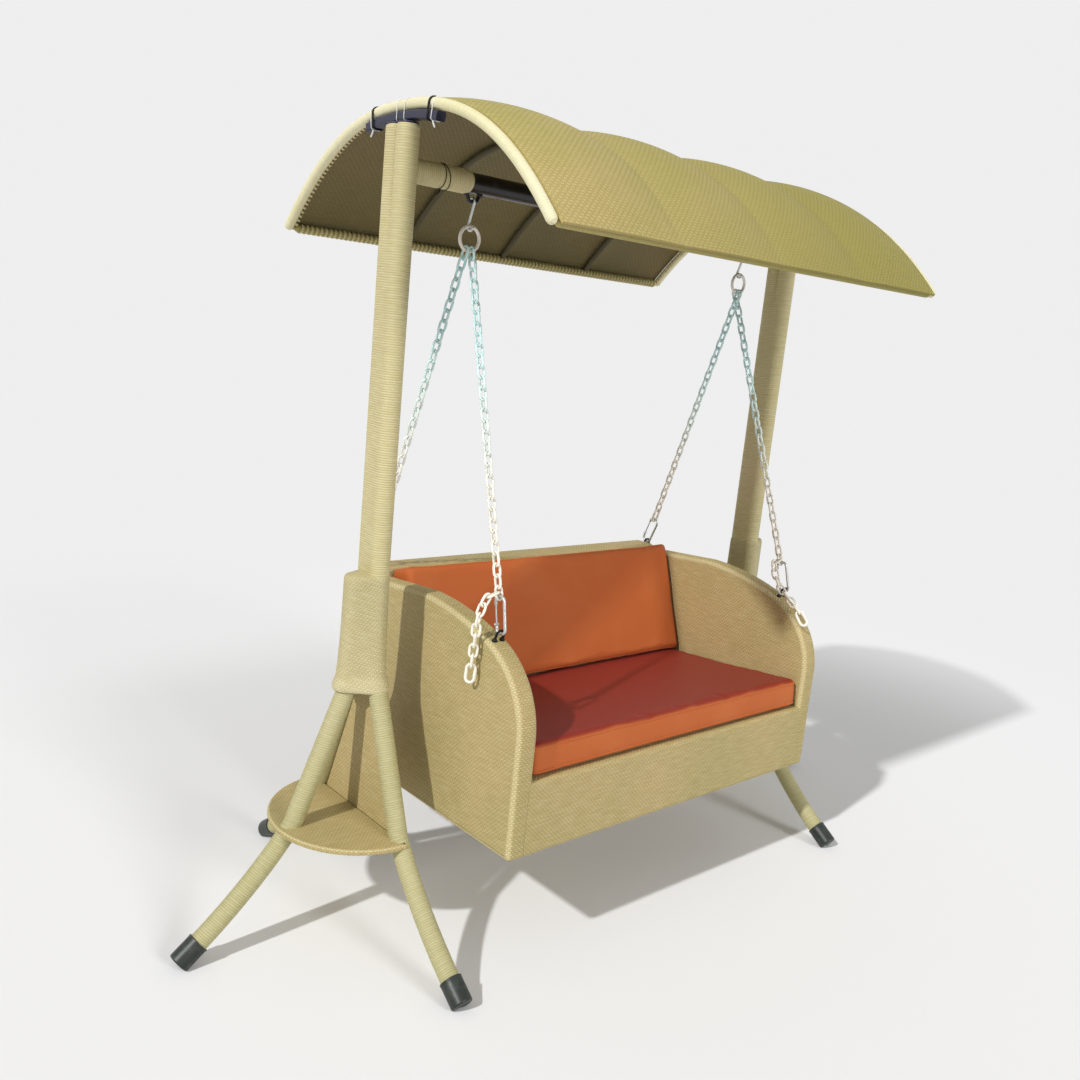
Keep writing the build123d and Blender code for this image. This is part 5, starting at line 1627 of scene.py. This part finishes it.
# ---- canopy -------------------------------------------------------------------------------------
@dataclass
class Canopy:
    """Arched woven roof in four scalloped bays, on end hoops, ribs and edge rails."""

    half_length: float = 0.771
    half_width: float = 0.575
    crest: float = 2.1
    edge: float = 1.816
    power: float = 2.35
    bays: int = 4
    rise: float = 24 * MM
    edge_ease: float = 0.92
    skin: float = 6 * MM
    hoop: float = 13 * MM
    rib: float = 9 * MM
    rail: float = 10 * MM
    allowance: float = 2 * MM
    saddle: float = 22 * MM
    saddle_corner: float = 5 * MM
    saddle_span: tuple[float, float] = (-0.150, 0.165)
    pitch: float = 6 * MM
    lace_step: float = 15 * MM
    lace_reed: float = 2.2 * MM
    lace_flat: float = 1.7
    tie_shares: tuple[float, float] = (-0.2, 0.22)
    tie_wire: float = 1.5 * MM
    strap_places: tuple[tuple[float, int], ...] = ((-0.225, -1), (0.24, 1), (-0.02, -1), (0.035, 1))
    strap_wire: float = 1.2 * MM

    @property
    def half_sheet(self) -> float:
        """Half the length of the woven sheet, which ends just short of the hoops."""
        return self.half_length - 2 * self.hoop - 0.3 * MM

    def build(self) -> None:
        """Makes the roof, its frame, its lacing and its ties."""
        self.roof()
        self.frame_tubes()
        self.hoops()
        self.ties()

    def arch(self, share: Any, depth: Any = 0.0) -> Array:
        """Points (Y, Z) of the arch, moved inwards along its normal.

        The height falls from the crest with the share of the half width raised to the arch's power.

        Args:
            share: place along the arch, -1 at the front edge and 1 at the rear.
            depth: distance inwards.

        Returns:
            Array of points.
        """
        share = np.asarray(share, float)
        fall = self.crest - self.edge
        slope = fall * self.power * np.abs(share) ** (self.power - 1) / self.half_width * -np.sign(share)
        length = np.hypot(slope, 1)
        y = self.half_width * share + depth * slope / length
        return np.stack([y, self.edge + fall * (1 - np.abs(share) ** self.power) - depth / length], -1)

    def arch_path(self, x: float, low: float, high: float, depth: float, count: int = 90) -> Array:
        """Path along the arch at an X, from one share to another, at a depth."""
        flat = self.arch(np.linspace(low, high, count), depth)
        return np.column_stack([np.full(count, x), flat])

    def roof(self) -> None:
        """One continuous sheet whose bays swell between the ribs.

        A bay's rise is its height times 4 * place * (1 - place) to the power 0.9, eased towards the front
        and rear edges, so neighbouring bays meet in a crease on their rib.
        """
        half = self.half_sheet
        spread = np.linspace(-half, half, self.bays * 24 + 1)
        share = np.linspace(-1, 1, 91)
        place = (spread + half) / (2 * half) * self.bays % 1
        bulge = self.rise * (4 * place * (1 - place)) ** 0.9
        ease = 1 - self.edge_ease * np.abs(share) ** 8
        outer = self.sheet(spread, share, -bulge[:, None] * ease)
        inner = self.sheet(spread, share, self.skin - bulge[:, None] * ease)
        across = lengths(self.arch(share))
        chart = np.stack(np.broadcast_arrays(spread[:, None], across), -1)
        crease = np.exp(-((np.minimum(place, 1 - place) / 0.02) ** 2))[:, None] * 0.3
        tone = np.broadcast_to(crease, chart.shape[:2])
        # The inner sheet takes the darker reed: painted shade under the roof.
        piece = Piece("roof_weave_sheet").grid(outer, chart, tone).grid(inner, chart, finish=shaded_underside_reed)
        every = slice(None)
        for rim in ((0, every), (-1, every), (every, 0), (every, -1)):
            piece.grid(np.stack([outer[rim], inner[rim]]), np.stack([chart[rim], chart[rim]]))
        piece.finish("stand", "canopy_wicker", roof_weave, ["canopy_weave"])

    def sheet(self, spread: Array, share: Array, depth: Array) -> Array:
        """Grid of the roof's surface at a depth for each point."""
        flat = self.arch(np.broadcast_to(share, (len(spread), len(share))), depth)
        rows = np.broadcast_to(spread[:, None, None], (*flat.shape[:2], 1))
        return np.concatenate([rows, flat], -1)

    def frame_tubes(self) -> None:
        """Ribs under the creases, edge rails, and the reed that laces the roof's edges to the rails."""
        half = self.half_sheet
        share = 1 - self.rail / self.half_width
        ribs, rails, lacing = Piece("roof_ribs"), Piece("roof_edge_rails"), Piece("roof_edge_lacing")
        rib_end = share - 0.02
        for bay in range(1, self.bays):
            x = half * (2 * bay / self.bays - 1)
            path = self.arch_path(x, -rib_end, rib_end, self.skin + self.allowance + self.rib)
            ribs.tube(path, (1, 0, 0), self.rib, 14)
        for end in (-1, 1):
            y, z = self.arch(end * share, self.skin + self.allowance + self.rail)
            path = np.array([(-half + self.rail, y, z), (half - self.rail, y, z)])
            wind(rails, path, (0, 1, 0), self.rail, self.pitch, 0.5 * MM, 20)
            if end > 0:
                self.lace(lacing, path, (0, 1, 0), self.rail + 1.6 * MM)
        ribs.finish("stand", "frame_steel", rib_paint, ["canopy_ribs"])
        rails.finish("stand", "canopy_wicker", rail_reed, ["canopy_edge_rails"])
        for side in sides.values():
            x = side * (self.half_length - 2 * self.hoop)
            path = self.arch_path(x, -0.97, 0.97, self.hoop + 4 * MM, 120)
            self.lace(lacing, path, (1, 0, 0), 6 * MM)
        lacing.finish("stand", "canopy_wicker", wound)

    def lace(self, lacing: Piece, path: Array, normal: Any, reach: float) -> None:
        """Reed wound openly round a path, so dark gaps show between its turns.

        The reed's centre is the path's point plus reach * (cos, sin) of an angle that turns once every step;
        its section is flat and lies along the surface that it is wound on.

        Args:
            lacing: piece to add to.
            path: line that the reed is wound round, in one plane.
            normal: normal of that plane.
            reach: distance from the line to the reed's centre.
        """
        wire = self.lace_reed
        fine = resample(path, self.lace_step / 12)
        angle = 2 * pi * lengths(fine) / self.lace_step
        side = unit(np.cross(headings(fine), normal))
        radial = np.cos(angle)[:, None] * side + np.sin(angle)[:, None] * unit(normal)
        centre = fine + reach * radial
        around = np.cross(headings(centre), radial)
        ring = circle(6)[:, None]
        section = np.cos(ring) * radial[:, None] + self.lace_flat * np.sin(ring) * around[:, None]
        chart = np.stack(np.broadcast_arrays(ring[:, 0] * wire, lengths(centre)[:, None]), -1)
        lacing.capped(centre[:, None] + wire * section, chart)

    def hoops(self) -> None:
        """Thick end hoops wound with reed, and the blue-black saddle bars under them."""
        for name, side in sides.items():
            x = side * (self.half_length - self.hoop)
            share = 1 - 0.9 * self.hoop / self.half_width
            hoop = Piece(f"{name}_roof_hoop")
            path = self.arch_path(x, -share, share, self.hoop, 160)
            wind(hoop, path, (1, 0, 0), self.hoop, self.pitch, 0.7 * MM, 24)
            hoop.finish("stand", "canopy_wicker", hoop_reed, [f"{name}_canopy_hoop"])
            low, high = (place / self.half_width for place in self.saddle_span)
            depth = 2 * self.hoop + self.allowance + self.saddle / 2
            corners = np.array([(-1, -1), (1, -1), (1, 1), (-1, 1), (-1, -1)]) * (self.saddle / 2, self.hoop)
            start = (corners[0] + corners[1]) / 2
            section = rounded([start, *corners[1:], start], self.saddle_corner)
            points = carried(self.arch_path(x, low, high, depth, 40), (1, 0, 0), section)
            bar = Piece(f"{name}_saddle_bar").capped(points)
            bar.finish("stand", "saddle_paint", saddle_enamel, [f"{name}_canopy_saddle"])

    def band(self, x: float, share: float, wire: float) -> tuple[Array, Array]:
        """Closed path of a wire pulled tight round a hoop and its saddle, and the normal of its plane."""
        before, after = self.arch([share - 1e-4, share + 1e-4])
        along = unit([0, *(after - before)])
        up = np.cross((1, 0, 0), along)
        corner, reach = self.saddle_corner, self.hoop - self.saddle_corner
        low = self.hoop + self.allowance + self.saddle - corner
        circles = [(0, 0, self.hoop + wire), (-reach, -low, corner + wire), (reach, -low, corner + wire)]
        outline = hull_ring(circles, 40)[0]
        centre = np.array([x, *self.arch(share, self.hoop)])
        return centre + outline[:, :1] * (1, 0, 0) + outline[:, 1:] * up, along

    def ties(self) -> None:
        """Dark wire ties and white nylon ones that hold each hoop to its saddle, with their loose ends."""
        wires, straps = Piece("saddle_wire_ties"), Piece("white_cable_ties")
        for side in sides.values():
            x = side * (self.half_length - self.hoop)
            for share in self.tie_shares:
                for shift in (0, 0.006):
                    path, normal = self.band(x, share + shift, self.tie_wire)
                    wires.tube(path, normal, self.tie_wire, 8, closed=True)
            for share, lean in self.strap_places:
                path, normal = self.band(x, share, self.strap_wire * 0.75)
                straps.tube(path, normal, self.strap_wire, 6, closed=True)
                knot = path[np.argmin(path[:, 2])]
                tail = knot + MM * np.array([(0, 0, 0), (0, lean * 4, -8), (0, lean * 9, -15)])
                straps.tube(resample(tail, 3 * MM), (1, 0, 0), 1.9 * MM, 6)
        wires.finish("stand", "dark_iron", iron, ["canopy_ties"])
        straps.finish("stand", "canopy_wicker", nylon)


# ---- studio -------------------------------------------------------------------------------------
@dataclass
class Studio:
    """Camera, lamps, pale floor and backdrop."""

    camera_place: tuple[float, float, float] = (-2.1699, -2.1784, 1.5925)
    right: tuple[float, float, float] = (0.7518, -0.6524, 0.0957)
    up: tuple[float, float, float] = (0.0580, 0.2100, 0.9760)
    lens: float = 34.302
    backdrop: float = 0.86
    ambient: float = 0.35
    floor_radius: float = 40.0
    near: float = 1.8
    distant: float = 4.5

    def build(self) -> None:
        """Makes the camera, the lamps, the world and the floor."""
        self.camera()
        self.lamp("left_key", (-1.0, -0.16, 0.82), strength=2.35, angle=2.0)
        self.lamp("front_fill", (0.10, -1.0, 0.45), strength=1.25, angle=18.0)
        self.world()
        self.floor()
        bpy.context.scene.view_settings.view_transform = "Standard"

    def camera(self) -> None:
        """Places the camera from its right and up directions."""
        data = bpy.data.cameras.new("camera")
        data.lens, data.sensor_width = self.lens, 36.0
        right = unit(self.right)
        back = unit(np.cross(right, self.up))
        turn = Matrix(np.array([right, np.cross(back, right), back]).T.tolist())
        camera = linked("camera", data)
        camera.matrix_world = Matrix.Translation(self.camera_place) @ turn.to_4x4()
        bpy.context.scene.camera = camera

    def lamp(self, name: str, towards: tuple[float, float, float], strength: float, angle: float) -> None:
        """Adds a sun that shines from a direction, with a given spread in degrees."""
        data = bpy.data.lights.new(name, "SUN")
        data.energy, data.angle = strength, radians(angle)
        turn = Vector(towards).to_track_quat("Z", "Y")
        linked(name, data).matrix_world = turn.to_matrix().to_4x4()

    def world(self) -> None:
        """Plain ambient light; rays from the camera, in gloss and through glass see the pale backdrop."""
        world = bpy.data.worlds.new("world")
        bpy.context.scene.world = world
        tree = empty_tree(world)
        rays = add(tree, "LightPath").outputs
        indirect = calc(tree, "MAXIMUM", rays["Is Glossy Ray"], rays["Is Transmission Ray"])
        seen = calc(tree, "MAXIMUM", rays["Is Camera Ray"], indirect)
        level = calc(tree, "MULTIPLY_ADD", seen, self.backdrop - self.ambient, self.ambient)
        light = add(tree, "Background", {0: linear("FFFFFF")}, {1: level})
        add(tree, "OutputWorld", links={0: light.outputs[0]})

    def floor(self) -> None:
        """Round pale floor that keeps the swing's shadow near it and fades into the backdrop further out."""
        build = bmesh.new()
        bmesh.ops.create_circle(build, cap_ends=True, segments=96, radius=self.floor_radius)
        mesh = bpy.data.meshes.new("floor")
        build.to_mesh(mesh)
        build.free()
        material = bpy.data.materials.new("pale_floor")
        tree = empty_tree(material)
        place = add(tree, "TexCoord").outputs["Object"]
        away = add(tree, "VectorMath", {".operation": "LENGTH"}, {0: place}).outputs["Value"]
        share = add(tree, "MapRange", {1: self.near, 2: self.distant, ".interpolation_type": "SMOOTHSTEP"},
                    {0: away})
        matt = add(tree, "BsdfDiffuse", {0: linear("F4F4F4")})
        glow = add(tree, "Emission", {0: linear("FFFFFF"), 1: self.backdrop})
        mix = add(tree, "MixShader", links={0: share.outputs[0], 1: matt.outputs[0], 2: glow.outputs[0]})
        add(tree, "OutputMaterial", links={0: mix.outputs[0]})
        mesh.materials.append(material)
        floor = linked("floor", mesh)


def main() -> None:
    """Builds the studio and every sub-assembly in order."""
    logging.basicConfig(level=logging.INFO, format="%(message)s")
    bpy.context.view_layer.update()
    for assembly in (Studio(), Stands(), Beam(), Seat(), Cushions(), Hardware(), Canopy()):
        log.info("---- %s", type(assembly).__name__)
        assembly.build()


if __name__ == "__main__":
    main()
